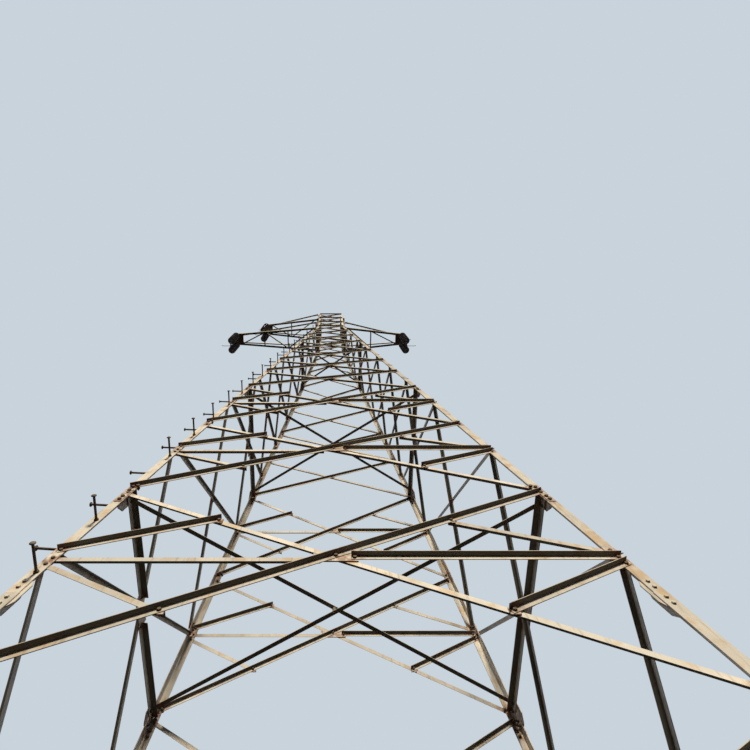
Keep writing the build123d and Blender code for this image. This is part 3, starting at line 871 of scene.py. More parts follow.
@dataclass
class RolledBar:
    """An equal angle bar: the heel line of its section and its two flanges."""

    heel: Vector
    travel: Vector
    flat: Vector
    stand: Vector
    width: float
    thickness: float
    stations: list[float] = field(default_factory=list)

    STAIN_REACH = 0.10
    ROOT_SHARE = 0.9
    TOE_SHARE = 0.45
    # Corners of an angle's outline.
    CORNERS = 6
    ROOT_STEPS = 4
    TOE_STEPS = 3
    # Cosine of an angle that still counts as square.
    SQUARE = 0.01
    END_MARGIN = 0.004

    @property
    def length(self) -> float:
        """Length of the bar."""
        return self.travel.length

    @property
    def axis(self) -> Vector:
        """Direction of the bar."""
        return self.travel.normalized()

    def on_line(self, station: float) -> Vector:
        """Point on the bolt line of the flat flange, on its bolted face."""
        return self.heel + self.axis * station + self.flat * (self.width / 2)

    @classmethod
    def read(cls, points: list[Vector], facing: Facing) -> "RolledBar":
        """Reads a plain angle bar from its corner points.

        Args:
            points: The twelve corners.
            facing: How the bolted flange lies.

        Returns:
            The bar.
        """
        rough = long_way(points).normalized()
        ordered = sorted(points, key=lambda p: p.dot(rough))
        low, high = ordered[: cls.CORNERS], ordered[cls.CORNERS :]
        travel = centroid(high) - centroid(low)
        width, heel, flanges = 0.0, low[0], ()
        for corner in low:
            arms = sorted((p - corner for p in low), key=lambda a: -a.length)
            for one, two in product([a for a in arms if a.length > SAME], repeat=2):
                square = abs(one.normalized().dot(two.normalized())) < cls.SQUARE
                even = abs(one.length - two.length) < SAME
                if square and even and one.length > width:
                    width, heel, flanges = one.length, corner, (one, two)
        level, steep = sorted((a.normalized() for a in flanges), key=lambda a: abs(a.z))
        stand, flat = (level, steep) if facing is Facing.UPRIGHT else (steep, level)
        depths = [(p - heel).dot(stand) for p in low]
        thickness = min(d for d in depths if d > SAME)
        return cls(heel.copy(), travel, flat, stand, width, thickness)

    def roll(self, target: BMesh, tone: float, shear: bool = False) -> None:
        """Builds the bar with its root fillet and rounded toes.

        Args:
            target: Bmesh that the bar is added to.
            tone: Brightness of this bar against the others, from -1 to 1.
            shear: Whether the ends stay level instead of square.
        """
        wide, thick = self.width, self.thickness
        outline = [(0, 0), (wide, 0), (wide, thick), (thick, thick), (thick, wide), (0, wide)]
        bm = fresh_bars()
        verts = [bm.verts.new(self.heel + self.flat * i + self.stand * j) for i, j in outline]
        bm.faces.new(verts)
        bevel(bm, [verts[3]], thick * self.ROOT_SHARE, self.ROOT_STEPS, corners=True)
        bevel(bm, [verts[2], verts[4]], thick * self.TOE_SHARE, self.TOE_STEPS, corners=True)
        sweep(bm, self.travel)
        steps = (-self.STAIN_REACH, 0.0, self.STAIN_REACH)
        cuts = {round(station + step, 4) for station in self.stations for step in steps}
        for cut in sorted(cuts):
            if self.END_MARGIN < cut < self.length - self.END_MARGIN:
                cut_at(bm, self.heel + self.axis * cut, UP if shear else self.axis)
        stain, tones = (bm.verts.layers.float[name] for name in (STAIN, TONE))
        for vert in bm.verts:
            from_heel = vert.co - self.heel
            if shear:
                along = from_heel.z / self.travel.z * self.length
            else:
                along = from_heel.dot(self.axis)
            nearest = min((abs(along - s) for s in self.stations), default=1.0)
            vert[stain] = max(0.0, 1.0 - nearest / self.STAIN_REACH)
            vert[tones] = tone
        pour(target, bm)


@dataclass(frozen=True)
class BoltSize:
    """A hexagon bolt with its washer, nut and thread end.

    Sizes but the washer's depth are shares of the diameter.
    """

    diameter: float

    CORNER = 0.866
    WASHER = 1.15
    WASHER_DEPTH = 0.003
    HEAD = 0.62
    NUT = 0.8
    THREAD = 1.35
    THREAD_END = 0.44
    CHAMFER = 0.09

    @cache
    def head(self) -> Mesh:
        """Head on its washer, seated on the local XY plane.

        Returns:
            The mesh.
        """
        bm = bmesh.new()
        radius = self.diameter * self.CORNER * self.WASHER
        cylinder(bm, Vector(), radius, self.WASHER_DEPTH, sides=12)
        self._hexagon(bm, self.WASHER_DEPTH, self.diameter * self.HEAD)
        return closed_mesh(bm, "bolt_head")

    @cache
    def nut(self) -> Mesh:
        """Nut and thread end, seated on the local XY plane.

        Returns:
            The mesh.
        """
        bm = bmesh.new()
        self._hexagon(bm, 0.0, self.diameter * self.NUT)
        radius, end = self.diameter / 2, self.diameter * self.THREAD_END
        cylinder(bm, Vector(), radius, self.diameter * self.THREAD, sides=8, top=end)
        return closed_mesh(bm, "bolt_nut")

    def through(self, target: BMesh, middle: Vector, axis: Vector, reach: float) -> None:
        """Adds a bolt through a joint from its middle, the head's way and half its thickness."""
        stamp(target, self.head(), frame_at(middle + axis * reach, axis))
        stamp(target, self.nut(), frame_at(middle - axis * reach, -axis))

    def _hexagon(self, bm: BMesh, low: float, depth: float) -> None:
        """Adds a chamfered hexagon prism.

        Args:
            bm: Bmesh that it is added to.
            low: Height of its foot.
            depth: Height of the prism.
        """
        made = cylinder(bm, UP * low, self.diameter * self.CORNER, depth, sides=6)
        top = max(v.co.z for v in made)
        edges = dict.fromkeys(e for v in made for e in v.link_edges)
        rim = [e for e in edges if all(abs(v.co.z - top) < MERGE for v in e.verts)]
        bevel(bm, rim, self.diameter * self.CHAMFER, 1)


class Bolting:
    """All bolts of the object, seated on the CAD solids by casting rays at them."""

    REACH = 0.05
    LEAST_GRIP = 0.0105
    LEAST_PITCH = 1.7

    def __init__(self) -> None:
        """Collects the surfaces of the frame."""
        points: list[Vector] = []
        faces: list[list[int]] = []
        for node in frame["nodes"].values():
            base = len(points)
            points += [v.co.copy() for v in node.data.vertices]
            faces += [[base + i for i in p.vertices] for p in node.data.polygons]
        self.tree = BVHTree.FromPolygons(points, faces)
        self.groups: dict[str, BMesh] = defaultdict(bmesh.new)
        self.places: list[Vector] = []
        self.dice = random.Random(7)

    def seats(self, point: Vector, normal: Vector, cover: float) -> tuple[Vector, Vector] | None:
        """Finds the outer faces of the plates that a bolt clamps.

        Args:
            point: A point inside or on the plates.
            normal: Direction of the head.
            cover: Thickness of a cover plate on the head's side.

        Returns:
            The head's seat and the nut's seat, or None where nothing is clamped.
        """
        out = normal * self.REACH
        outer = self.tree.ray_cast(point + out, -normal, 2 * self.REACH)[0]
        inner = self.tree.ray_cast(point - out, normal, 2 * self.REACH)[0]
        if outer is None or inner is None:
            return None
        outer = outer + normal * cover
        return (outer, inner) if (outer - inner).dot(normal) >= self.LEAST_GRIP else None

    def add(
        self, group: str, point: Vector, normal: Vector, diameter: float, cover: float = 0.0
    ) -> bool:
        """Puts a bolt through the plates at a point.

        Args:
            group: Piece that the bolt belongs to.
            point: A point inside or on the plates.
            normal: Direction of the head.
            diameter: Thread diameter.
            cover: Thickness of a cover plate on the head's side.

        Returns:
            Whether the bolt found plates and a free place.
        """
        pitch = diameter * self.LEAST_PITCH
        if any((point - other).length < pitch for other in self.places):
            return False
        found = self.seats(point, normal, cover)
        if not found:
            return False
        size = BoltSize(diameter)
        for mesh, seat, way in zip((size.head(), size.nut()), found, (normal, -normal)):
            stamp(self.groups[group], mesh, frame_at(seat, way, self.dice.uniform(0, 1)))
        self.places.append(point)
        return True

    def dress(self, finishes: Finishes) -> None:
        """Turns each group into a piece on the tower.

        Args:
            finishes: Materials.
        """
        for group, bm in self.groups.items():
            piece(f"bolts_{group}", bm, finishes.leg if group == "splices" else finishes.bolt)
        LOG.info("bolts in all: %d", len(self.places))


@dataclass
class Shop:
    """What every sub-assembly is made with: materials, bolts and the bars' tones."""

    finishes: Finishes = field(default_factory=Finishes.make)
    bolting: Bolting = field(default_factory=Bolting)
    dice: random.Random = field(default_factory=lambda: random.Random(23))


@dataclass
class BarSet:
    """The bars of one CAD node, rolled again and bolted."""

    node: str
    facing: Facing = Facing.UPRIGHT
    bolt_group: str = "front"
    end_distance: float = 0.025
    pitch: float = 0.042
    paired_below: float = 9.0
    bars: list[RolledBar] = field(default_factory=list)

    def read(self) -> "BarSet":
        """Reads the node's bars from the frame.

        Returns:
            The set itself.
        """
        for points in node_islands(self.node):
            self.bars.append(RolledBar.read(points, self.facing))
        self.bars.sort(key=lambda b: [round(b.heel[i], 3) for i in (2, 0, 1)])
        return self

    def bolt_ends(self, bolting: Bolting, diameter: float, pairs: bool = False) -> None:
        """Bolts both ends of every bar.

        Args:
            bolting: Receives the bolts.
            diameter: Thread diameter.
            pairs: Whether the low bars have two bolts at each end.
        """
        for bar in self.bars:
            count = 2 if pairs and bar.heel.z < self.paired_below else 1
            for number in range(count):
                inset = self.end_distance + number * self.pitch
                for station in (inset, bar.length - inset):
                    self.bolt_at(bolting, bar, station, diameter)

    def bolt_at(self, bolting: Bolting, bar: RolledBar, station: float, diameter: float) -> None:
        """Bolts a bar at a distance along it, with the head away from the tower.

        Args:
            bolting: Receives the bolt.
            bar: Bar that is bolted.
            station: Distance along the bar.
            diameter: Thread diameter.
        """
        point = bar.on_line(station)
        normal = bar.stand.copy()
        outward = normal.xy.dot(point.xy) if self.facing is Facing.UPRIGHT else -normal.z
        if outward < 0:
            normal = -normal
        if bolting.add(self.bolt_group, point, normal, diameter):
            bar.stations.append(station)

    def build(self, shop: Shop) -> None:
        """Rolls every bar and puts the piece in the node's place.

        Args:
            shop: Materials and tones.
        """
        bm = fresh_bars()
        for bar in self.bars:
            bar.roll(bm, shop.dice.uniform(-1, 1))
        obj = piece(f"rolled_{self.node}", bm, shop.finishes.bar)
        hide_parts(self.node)


def nearest_on_lines(first: RolledBar, second: RolledBar) -> Triple:
    """Where the bolt lines of two bars come nearest.

    Args:
        first: One bar.
        second: Another bar.

    Returns:
        The distance along each bar and the gap between the lines.
    """
    p, q = first.on_line(0), second.on_line(0)
    u, v = first.axis, second.axis
    w = p - q
    b, d, e = u.dot(v), u.dot(w), v.dot(w)
    below = 1 - b * b
    if below < PARALLEL:
        return 0.0, 0.0, math.inf
    s = (b * e - d) / below
    t = (e - b * d) / below
    return s, t, ((p + u * s) - (q + v * t)).length


@dataclass
class Lattice:
    """The bars of the body's four faces and of the cage above the waist."""

    bolt: float = 0.020
    small_bolt: float = 0.016
    end_room: float = 0.15
    most_gap: float = 0.03
    sets: dict[str, BarSet] = field(default_factory=dict)

    LAYERS = ("outer", "inner")
    FACES = ("front", "back", "left", "right")

    def read(self) -> None:
        """Reads every lattice node into its face's bolt group."""
        nodes = [(f"{face}_{layer}", face) for face in self.FACES for layer in self.LAYERS]
        nodes += [(f"{face}_ties", face) for face in ("front", "back")]
        nodes += [(f"cage_{part}", "cage") for part in (*self.LAYERS, "ties", "root_struts")]
        self.sets = {node: BarSet(node, bolt_group=group).read() for node, group in nodes}

    def bolt_up(self, bolting: Bolting) -> None:
        """Bolts the ends and the crossings of the bars.

        Args:
            bolting: Receives the bolts.
        """
        for name, bars in self.sets.items():
            small = bars.bolt_group == "cage" or name.endswith("ties")
            bars.bolt_ends(bolting, self.small_bolt if small else self.bolt, pairs=not small)
        for face in (*self.FACES, "cage"):
            outer, inner = (self.sets[f"{face}_{layer}"] for layer in self.LAYERS)
            for first, second in product(outer.bars, inner.bars):
                s, t, gap = nearest_on_lines(first, second)
                room = min(s, first.length - s, t, second.length - t)
                if room > self.end_room and gap < self.most_gap:
                    outer.bolt_at(bolting, first, s, self.small_bolt)
                    second.stations.append(t)

    def build(self, shop: Shop) -> None:
        """Rolls every set."""
        for bars in self.sets.values():
            bars.build(shop)


@dataclass
class Legs:
    """The four corner legs, in lengths of smaller and smaller angle."""

    lengths: tuple[tuple[float, float, Pair], ...] = (
        (0.025, SPLICE_HEIGHT, LEG_SECTION),
        (SPLICE_HEIGHT, STRUT_LEVELS["middle"], (0.085, 0.010)),
        (STRUT_LEVELS["middle"], 20.0, (0.080, 0.010)),
    )
    cage_section: Pair = (0.080, 0.008)
    bolt_aside: float = 0.12
    bolt_beyond: float = 0.1
    stain_apart: float = 0.05
    end_slack: float = 0.001

    def build(self, shop: Shop) -> None:
        """Rolls the legs and puts each piece in its node's place.

        Args:
            shop: Materials, tones and the bolts whose heights show as stains.
        """
        for face, hand in product(("front", "back"), ("left", "right")):
            node = f"leg_{face}_{hand}"
            low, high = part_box(node)
            sides = [1 if value > 0 else -1 for value in low.xy]
            foot, top = (self._heel(node, sides, z) for z in (low.z, high.z))
            bm = fresh_bars()
            for start, end, section in self.lengths:
                ends = [foot.lerp(top, (z - foot.z) / (top.z - foot.z)) for z in (start, end)]
                self._length(shop, bm, ends, sides, section)
            obj = piece(f"rolled_{node}", bm, shop.finishes.leg)
            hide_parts(node)
        bm = fresh_bars()
        low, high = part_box("cage_legs")
        for sides in BOTH_WAYS:
            ends = [Vector((sides[0] * high.x, sides[1] * high.y, z)) for z in (low.z, high.z)]
            self._length(shop, bm, ends, sides, self.cage_section)
        obj = piece("rolled_cage_legs", bm, shop.finishes.leg)
        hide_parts("cage_legs")

    def _heel(self, node: str, sides: list[int], height: float) -> Vector:
        """The outermost corner of a leg at one of its ends.

        Args:
            node: CAD node of the leg.
            sides: Which side of the tower the leg is on, along X and Y.
            height: Height of the end.

        Returns:
            The corner.
        """
        corners = [v.co for v in frame["nodes"][node].data.vertices]
        level = [c for c in corners if abs(c.z - height) < self.end_slack]
        return max(level, key=lambda c: c.xy.dot(sides)).copy()

    def _length(
        self,
        shop: Shop,
        bm: BMesh,
        ends: list[Vector],
        sides: tuple[int, int],
        section: Pair,
    ) -> None:
        """Rolls one length of a leg.

        Args:
            shop: Bolts and tones.
            bm: Bmesh that the length is added to.
            ends: Both ends of the heel line.
            sides: Which side of the tower the leg is on, along X and Y.
            section: Width and thickness of the angle.
        """
        foot, top = ends
        flanges = Vector((-sides[0], 0, 0)), Vector((0, -sides[1], 0))
        bar = RolledBar(foot, top - foot, *flanges, *section)
        beyond = self.bolt_beyond
        for place in shop.bolting.places:
            along = (place - foot).dot(bar.axis)
            aside = (place - foot - bar.axis * along).length
            beside = aside < self.bolt_aside and -beyond < along < bar.length + beyond
            if beside and all(abs(along - s) > self.stain_apart for s in bar.stations):
                bar.stations.append(along)
        bar.roll(bm, shop.dice.uniform(-1, 1), shear=True)


@dataclass
class PlateSet:
    """Plates of one CAD node with their sheared edges eased."""

    node: str
    ease: float = 0.0015
    trim: tuple[Vector, Vector] | None = None
    least_turn: float = math.radians(0.5)
    sharp: float = 0.6

    def build(self, material: Material) -> None:
        """Copies the node's solids, eases their edges and replaces them.

        Args:
            material: Finish of the plates.
        """
        body = frame["nodes"][self.node]["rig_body"]
        obj = piece(f"eased_{self.node}", self.eased(), material, body)
        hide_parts(self.node)

    def eased(self) -> BMesh:
        """A copy of the node's solids, cut off at the trim plane, with eased edges.

        Returns:
            The copy.
        """
        bm = node_mesh(self.node)
        if self.trim:
            bmesh.ops.edgeloop_fill(bm, edges=cut_at(bm, *self.trim, off=True))
        bmesh.ops.dissolve_limit(
            bm, angle_limit=self.least_turn, verts=bm.verts[:], edges=bm.edges[:]
        )
        folds = [e for e in bm.edges if len(e.link_faces) == 2]
        bevel(bm, [e for e in folds if e.calc_face_angle() > self.sharp], self.ease, 2, clamp=True)
        return bm


@dataclass
class Diaphragm:
    """Side struts and plan diagonals at one level, with the spacer where they cross."""

    name: str
    level: float
    taper: Taper = field(default_factory=Taper)
    bar: Pair = (0.045, 0.005)
    strut_width: float = 0.065
    gap: float = 0.002
    lap: float = 0.004
    inset: Pair = (0.042, 0.060)
    cope: float = 0.110
    spacer_radius: float = 0.017
    spacer_ease: float = 0.001
    strut_zone: float = 0.85
    bolt: float = 0.016

    def build(self, shop: Shop) -> None:
        """Rolls the struts and the plan diagonals and bolts them.

        Args:
            shop: Materials, bolts and tones.
        """
        node = f"diaphragm_{self.name}"
        struts = BarSet(node, bolt_group="diaphragms", bars=self._struts(node))
        struts.bolt_ends(shop.bolting, self.bolt)
        low_top = self.level - self.gap - self.lap
        high_top = self.level + self.gap + self.strut_width - self.lap
        plan = BarSet(node, Facing.LEVEL, "diaphragms", paired_below=math.inf)
        plan.bars = [self._plan_bar(-1, low_top), self._plan_bar(1, high_top)]
        plan.bolt_ends(shop.bolting, self.bolt, pairs=True)
        tongues = bmesh.new()
        for bar in plan.bars:
            self._cope(tongues, bar)
        piece(f"coped_ends_{node}", tongues, shop.finishes.plate)
        struts.bars += plan.bars
        struts.build(shop)
        self._spacer(shop, low_top, high_top - self.bar[1])

    def _spacer(self, shop: Shop, low: float, high: float) -> None:
        """Stands a bolted tube between the two plan diagonals.

        Args:
            shop: Materials.
            low: Height of its foot.
            high: Height of its head.
        """
        bm = bmesh.new()
        tall, radius, ease = high - low, self.spacer_radius, self.spacer_ease
        outline = [(0, 0), (radius - ease, 0), (radius, ease)]
        outline += [(r, tall - z) for r, z in reversed(outline)]
        stamp(bm, spun("spacer", outline, steps=16), Matrix.Translation((0, 0, low)))
        middle = UP * ((low + high) / 2)
        BoltSize(self.bolt).through(bm, middle, -UP, tall / 2 + self.bar[1])
        piece(f"spacer_{self.name}", bm, shop.finishes.bolt)

    def _struts(self, node: str) -> list[RolledBar]:
        """The four half struts, read from the six corners at each of their ends.

        Args:
            node: CAD node.

        Returns:
            The struts.
        """
        bm = node_mesh(node)
        bars = []
        reach = self.taper.half(self.level).x * self.strut_zone
        for side in (-1, 1):
            rows: dict[float, list[Vector]] = {}
            for vert in bm.verts:
                if vert.co.x * side > reach:
                    rows.setdefault(round(vert.co.y, 4), []).append(vert.co.copy())
            ends = [rows[y] for y in sorted(rows) if len(rows[y]) == RolledBar.CORNERS]
            for first, last in zip(ends[::2], ends[1::2]):
                bars.append(RolledBar.read(first + last, Facing.UPRIGHT))
        bm.free()
        return bars

    def _plan_bar(self, sign: int, top: float) -> RolledBar:
        """One plan diagonal.

        Args:
            sign: 1 where it starts at the back right corner, -1 at the front right.
            top: Height of the top of its flat flange.

        Returns:
            The bar, with its standing flange up.
        """
        width, thickness = LEG_SECTION
        first = self.taper.half(self.level) - Vector((thickness, width)) - Vector(self.inset)
        first = Vector((first.x, first.y * sign, 0))
        travel = -2 * first
        across = travel.normalized().cross(UP)
        heel = first + across * (self.bar[0] / 2) + UP * (top - self.bar[1])
        return RolledBar(heel, travel, -across, UP, *self.bar)

    def _cope(self, target: BMesh, bar: RolledBar) -> None:
        """Cuts the standing flange back at both ends, where the bar laps the struts.

        Args:
            target: Receives the flat ends.
            bar: Plan diagonal, which gets shorter.
        """
        axis = bar.axis
        for start in (0.0, bar.length - self.cope):
            outline = rectangle((0, 0), (self.cope, bar.width))
            axes = (axis, bar.flat, bar.stand)
            plate(target, bar.heel + axis * start, axes, outline, bar.thickness)
        bar.heel = bar.heel + axis * self.cope
        bar.travel = axis * (bar.length - 2 * self.cope)
        bar.stations.clear()


@dataclass(frozen=True)
class FlangePlate:
    """A bolted plate on one flange of a leg.

    Its outline and its bolts are measured across the flange and up the leg. The
    seat is the distance of its near face out of the flange's outer face, and its
    thickness and its cover over the flange are positive outwards.
    """

    on_front: bool
    outline: Outline
    bolts: Outline
    bolt: float
    thickness: float
    seat: float = 0.0
    cover: float = 0.0
    radii: dict[int, float] | None = None
    taper: Taper = Taper()

    def build(
        self, bolting: Bolting, group: str, target: BMesh, side: tuple[int, int], height: float
    ) -> None:
        """Cuts the plate for one leg and bolts it.

        Args:
            bolting: Receives the bolts.
            group: Piece that the bolts belong to.
            target: Bmesh that the plate is added to.
            side: Which leg, along X and Y.
            height: Height of the outline's origin on the leg's heel.
        """
        heel = self.taper.heel(*side, height)
        up = (self.taper.heel(*side, height + 1) - heel).normalized()
        outs = RIGHT * side[0], BACK * side[1]
        inner, out = outs if self.on_front else reversed(outs)
        out = (out - up * out.dot(up)).normalized()
        axes = (-inner, up, out)
        plate(target, heel + out * self.seat, axes, self.outline, self.thickness, self.radii)
        within = heel - out * (LEG_SECTION[1] / 2)
        for u, v in self.bolts:
            bolting.add(group, within - inner * u + up * v, out, self.bolt, self.cover)


@dataclass
class LegSplices:
    """Plates inside each leg where its two lowest lengths meet, with their bolts."""

    half_length: float = 0.150
    breadth: float = 0.112
    root_room: float = 0.012
    end_breadth: float = 0.68
    full_length: float = 0.55
    thickness: float = 0.008
    gauge: float = 0.046
    bolt_heights: tuple[float, ...] = (-0.110, -0.050, 0.050, 0.110)
    bolt: float = 0.016

    def build(self, shop: Shop) -> None:
        """Cuts a plate for both flanges of every leg and bolts it.

        Args:
            shop: Materials and bolts.
        """
        bm = bmesh.new()
        leg = LEG_SECTION[1]
        half = [
            (self.breadth, self.half_length * self.full_length),
            (self.breadth * self.end_breadth, self.half_length),
            (leg + self.root_room, self.half_length),
        ]
        outline = [(u, -v) for u, v in reversed(half)] + half
        bolts = [(self.gauge, v) for v in self.bolt_heights]
        for corner, on_front in product(CORNERS, (True, False)):
            splice = FlangePlate(on_front, outline, bolts, self.bolt, -self.thickness, -leg)
            splice.build(shop.bolting, "splices", bm, corner, SPLICE_HEIGHT)
        obj = piece("splice_plates", bm, shop.finishes.leg)
        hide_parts("leg_splices")


@dataclass
class JointPlates:
    """Bolted cover plates and strut gussets where the side struts meet the legs."""

    thickness: float = 0.008
    gauge: float = 0.052
    bolt: float = 0.020
    cover: Outline = ((0.010, -0.235), (0.078, 0.005))
    cover_rounding: float = 0.012
    cover_bolts: tuple[float, ...] = (-0.205, -0.145, -0.085, -0.025)
    gusset: Outline = (
        (0.012, -0.150), (0.110, -0.150), (0.175, -0.085),
        (0.175, 0.090), (0.110, 0.130), (0.012, 0.130),
    )
    gusset_bolts: tuple[float, ...] = (-0.115, -0.062, 0.062, 0.105)
    strut_bolts: Outline = ((0.140, -0.040), (0.140, 0.050))

    def build(self, shop: Shop) -> None:
        """Cuts and bolts the plates of every level and corner.

        Args:
            shop: Materials and bolts.
        """
        bm = bmesh.new()
        shared = {"bolt": self.bolt, "thickness": self.thickness, "cover": self.thickness}
        rounding = dict.fromkeys((0, 1), self.cover_rounding)
        bolts = [(self.gauge, v) for v in self.cover_bolts]
        cover = FlangePlate(True, rectangle(*self.cover), bolts, radii=rounding, **shared)
        bolts = [(self.gauge, v) for v in self.gusset_bolts]
        gusset = FlangePlate(False, self.gusset, [*bolts, *self.strut_bolts], **shared)
        for level, corner, kind in product(STRUT_LEVELS.values(), CORNERS, (cover, gusset)):
            kind.build(shop.bolting, "joint_plates", bm, corner, level)
        piece("joint_plates", bm, shop.finishes.plate)


@dataclass
class Feet:
    """Base plates with their anchor studs."""

    plate: float = 0.340
    edge: float = 0.045
    ease: float = 0.003
    stud: float = 0.030
    washer: Pair = (0.0315, 0.004)
    seed: int = 3

    def build(self, finishes: Finishes) -> None:
        """Eases the plates and stands four studs with nuts on each.

        Args:
            finishes: Materials.
        """
        PlateSet("base_plates", self.ease).build(finishes.plate)
        nut = BoltSize(self.stud).nut()
        bm = bmesh.new()
        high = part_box("base_plates")[1]
        reach = self.plate / 2 - self.edge
        radius, depth = self.washer
        dice = random.Random(self.seed)
        for (side_x, side_y), (i, j) in product(BOTH_WAYS, repeat=2):
            x = side_x * (high.x - self.plate / 2) + i * reach
            y = side_y * (high.y - self.plate / 2) + j * reach
            place = Vector((x, y, high.z))
            cylinder(bm, place, radius, depth, sides=20)
            stamp(bm, nut, frame_at(place + UP * depth, UP, dice.uniform(0, 1)))
        bmesh.ops.recalc_face_normals(bm, faces=bm.faces[:])
        piece("anchor_nuts", bm, finishes.bolt)


@dataclass
class StepLadder:
    """Step bolts of the front left leg, with round heads and two nuts each."""

    # Corners at each end of a peg's solid.
    CORNERS = 6

    diameter: float = 0.020
    head: float = 0.044
    head_depth: float = 0.014
    neck: Pair = (1.25, -0.004)
    crown: Outline = ((0.92, 0.001), (1, 0.004), (0.93, 0.009))
    crown_end: Pair = (0.6, -0.001)
    flange: float = 0.010
    search: float = 0.04
    seed: int = 11

    def build(self, shop: Shop) -> None:
        """Makes a peg for every solid of the node.

        Args:
            shop: Materials, and the surfaces that the inner nuts are seated on.
        """
        bm = bmesh.new()
        size = BoltSize(self.diameter)
        collar, nut = size.head(), size.nut()
        dice = random.Random(self.seed)
        for points in node_islands("step_bolts"):
            base, tip = self._ends(points)
            axis = (tip - base).normalized()
            stamp(bm, self._peg((tip - base).length), frame_at(base, axis))
            stamp(bm, collar, frame_at(base, axis, dice.uniform(0, 1)))
            start = base - axis * self.search
            hit = shop.bolting.tree.ray_cast(start, axis, self.search + self.flange)[0]
            seat = hit if hit is not None else base - axis * self.flange
            stamp(bm, nut, frame_at(seat, -axis, dice.uniform(0, 1)))
        obj = piece("step_pegs", bm, shop.finishes.bolt)
        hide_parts("step_bolts")

    def _ends(self, points: list[Vector]) -> list[Vector]:
        """Finds both ends of a peg.

        Args:
            points: Corner points of its solid.

        Returns:
            The centres of its foot and of its broader head.
        """
        way = long_way(points)
        ordered = sorted(points, key=lambda p: p.dot(way))
        ends = []
        for group in (ordered[: self.CORNERS], ordered[-self.CORNERS :]):
            centre = centroid(group)
            ends.append((max((p - centre).length for p in group), centre))
        return [centre for _, centre in sorted(ends, key=lambda e: e[0])]

    def _peg(self, length: float) -> Mesh:
        """Shank and mushroom head.

        Args:
            length: Length over all.

        Returns:
            The mesh, along +Z.
        """
        r, h = self.diameter / 2, self.head / 2
        low = length - self.head_depth
        wide, back = self.neck
        outline = [(0, 0), (r, 0), (r, low + back), (r * wide, low)]
        outline += [(h * share, low + rise) for share, rise in self.crown]
        share, back = self.crown_end
        outline += [(h * share, length + back), (0, length)]
        return spun("peg", outline, steps=16)


@dataclass
class DiscString:
    """Cap-and-pin discs of one insulator string, with their outlines in millimetres."""

    discs: int = 7
    pitch: float = 0.146
    shell: Outline = (
        (0, -36), (38, -38), (47, -43), (58, -46), (80, -53), (102, -64), (118, -76),
        (126, -86), (127.4, -91), (125.5, -94.5), (121, -95), (117.5, -91), (115, -84),
        (108, -83), (105.5, -97), (102, -99), (99, -96), (97, -80), (85, -78),
        (82.5, -94), (79, -96), (76, -93), (74, -76), (60, -75), (57.5, -91), (54, -93),
        (51, -90), (49, -73), (30, -71), (24, -78), (13, -80), (0, -80),
    )
    cap: Outline = (
        (0, 0), (20, 0), (27, -2), (29, -7), (30, -13), (38, -17), (43.5, -24), (45.8, -33),
        (46.5, -40), (49, -44), (48.5, -47), (40, -47), (0, -45),
    )
    pin: Outline = (
        (0, -74), (12, -75), (11, -84), (10, -100), (10, -126), (12, -131), (16, -136),
        (17, -141), (15, -145), (0, -146),
    )

    def stamp_on(self, porcelain: BMesh, metal: BMesh, top: Vector) -> None:
        """Adds the discs under a hanging point.

        Args:
            porcelain: Receives the shells.
            metal: Receives the caps and pins.
            top: Top of the first cap.
        """
        parts = (
            (porcelain, spun("shell", self.shell, steps=32)),
            (metal, spun("cap", self.cap, steps=20)),
            (metal, spun("pin", self.pin, steps=12)),
        )
        for number in range(self.discs):
            place = Matrix.Translation(top - UP * (number * self.pitch)) @ FROM_MILLIMETRES
            for target, mesh in parts:
                stamp(target, mesh, place)


@dataclass(frozen=True)
class Shackle:
    """Forged clevis of one string, hanging from its pin in the tip plate's lug."""

    width: float = 0.036
    cheek: float = 0.008
    cheek_above_foot: float = 0.002
    slot: float = 0.018
    above: float = 0.018
    below: float = 0.070
    foot: float = 0.022
    foot_rounding: Pair = (0.008, 0.003)
    pin: float = 0.020

    def build(self, target: BMesh, pin: Vector) -> None:
        """Adds the shackle round its pin.

        Args:
            target: Bmesh that receives it.
            pin: Middle of the pin.
        """
        half, outer = self.width / 2, self.slot / 2 + self.cheek
        ends = dict.fromkeys((2, 3), half * ROUND_END)
        outline = rectangle((-half, self.cheek_above_foot - self.below), (half, self.above))
        for way in (-1, 1):
            start = pin + BACK * (way * self.slot / 2)
            plate(target, start, (RIGHT, UP, BACK * way), outline, self.cheek, ends)
        outline = rectangle((-half, -self.below), (half, self.foot - self.below))
        low, high = self.foot_rounding
        rounding = {0: low, 1: low, 2: high, 3: high}
        axes = (RIGHT, UP, BACK)
        plate(target, pin - BACK * outer, axes, outline, 2 * outer, rounding, FORGED_EASE)
        radius = self.pin / 2
        outline = [(0, -outer), (radius, -outer), (radius, outer), (0, outer)]
        stamp(target, spun("pin", outline, steps=16), Matrix.Translation(pin) @ UP_TO_FRONT)
        BoltSize(self.pin).through(target, pin, BACK, outer)


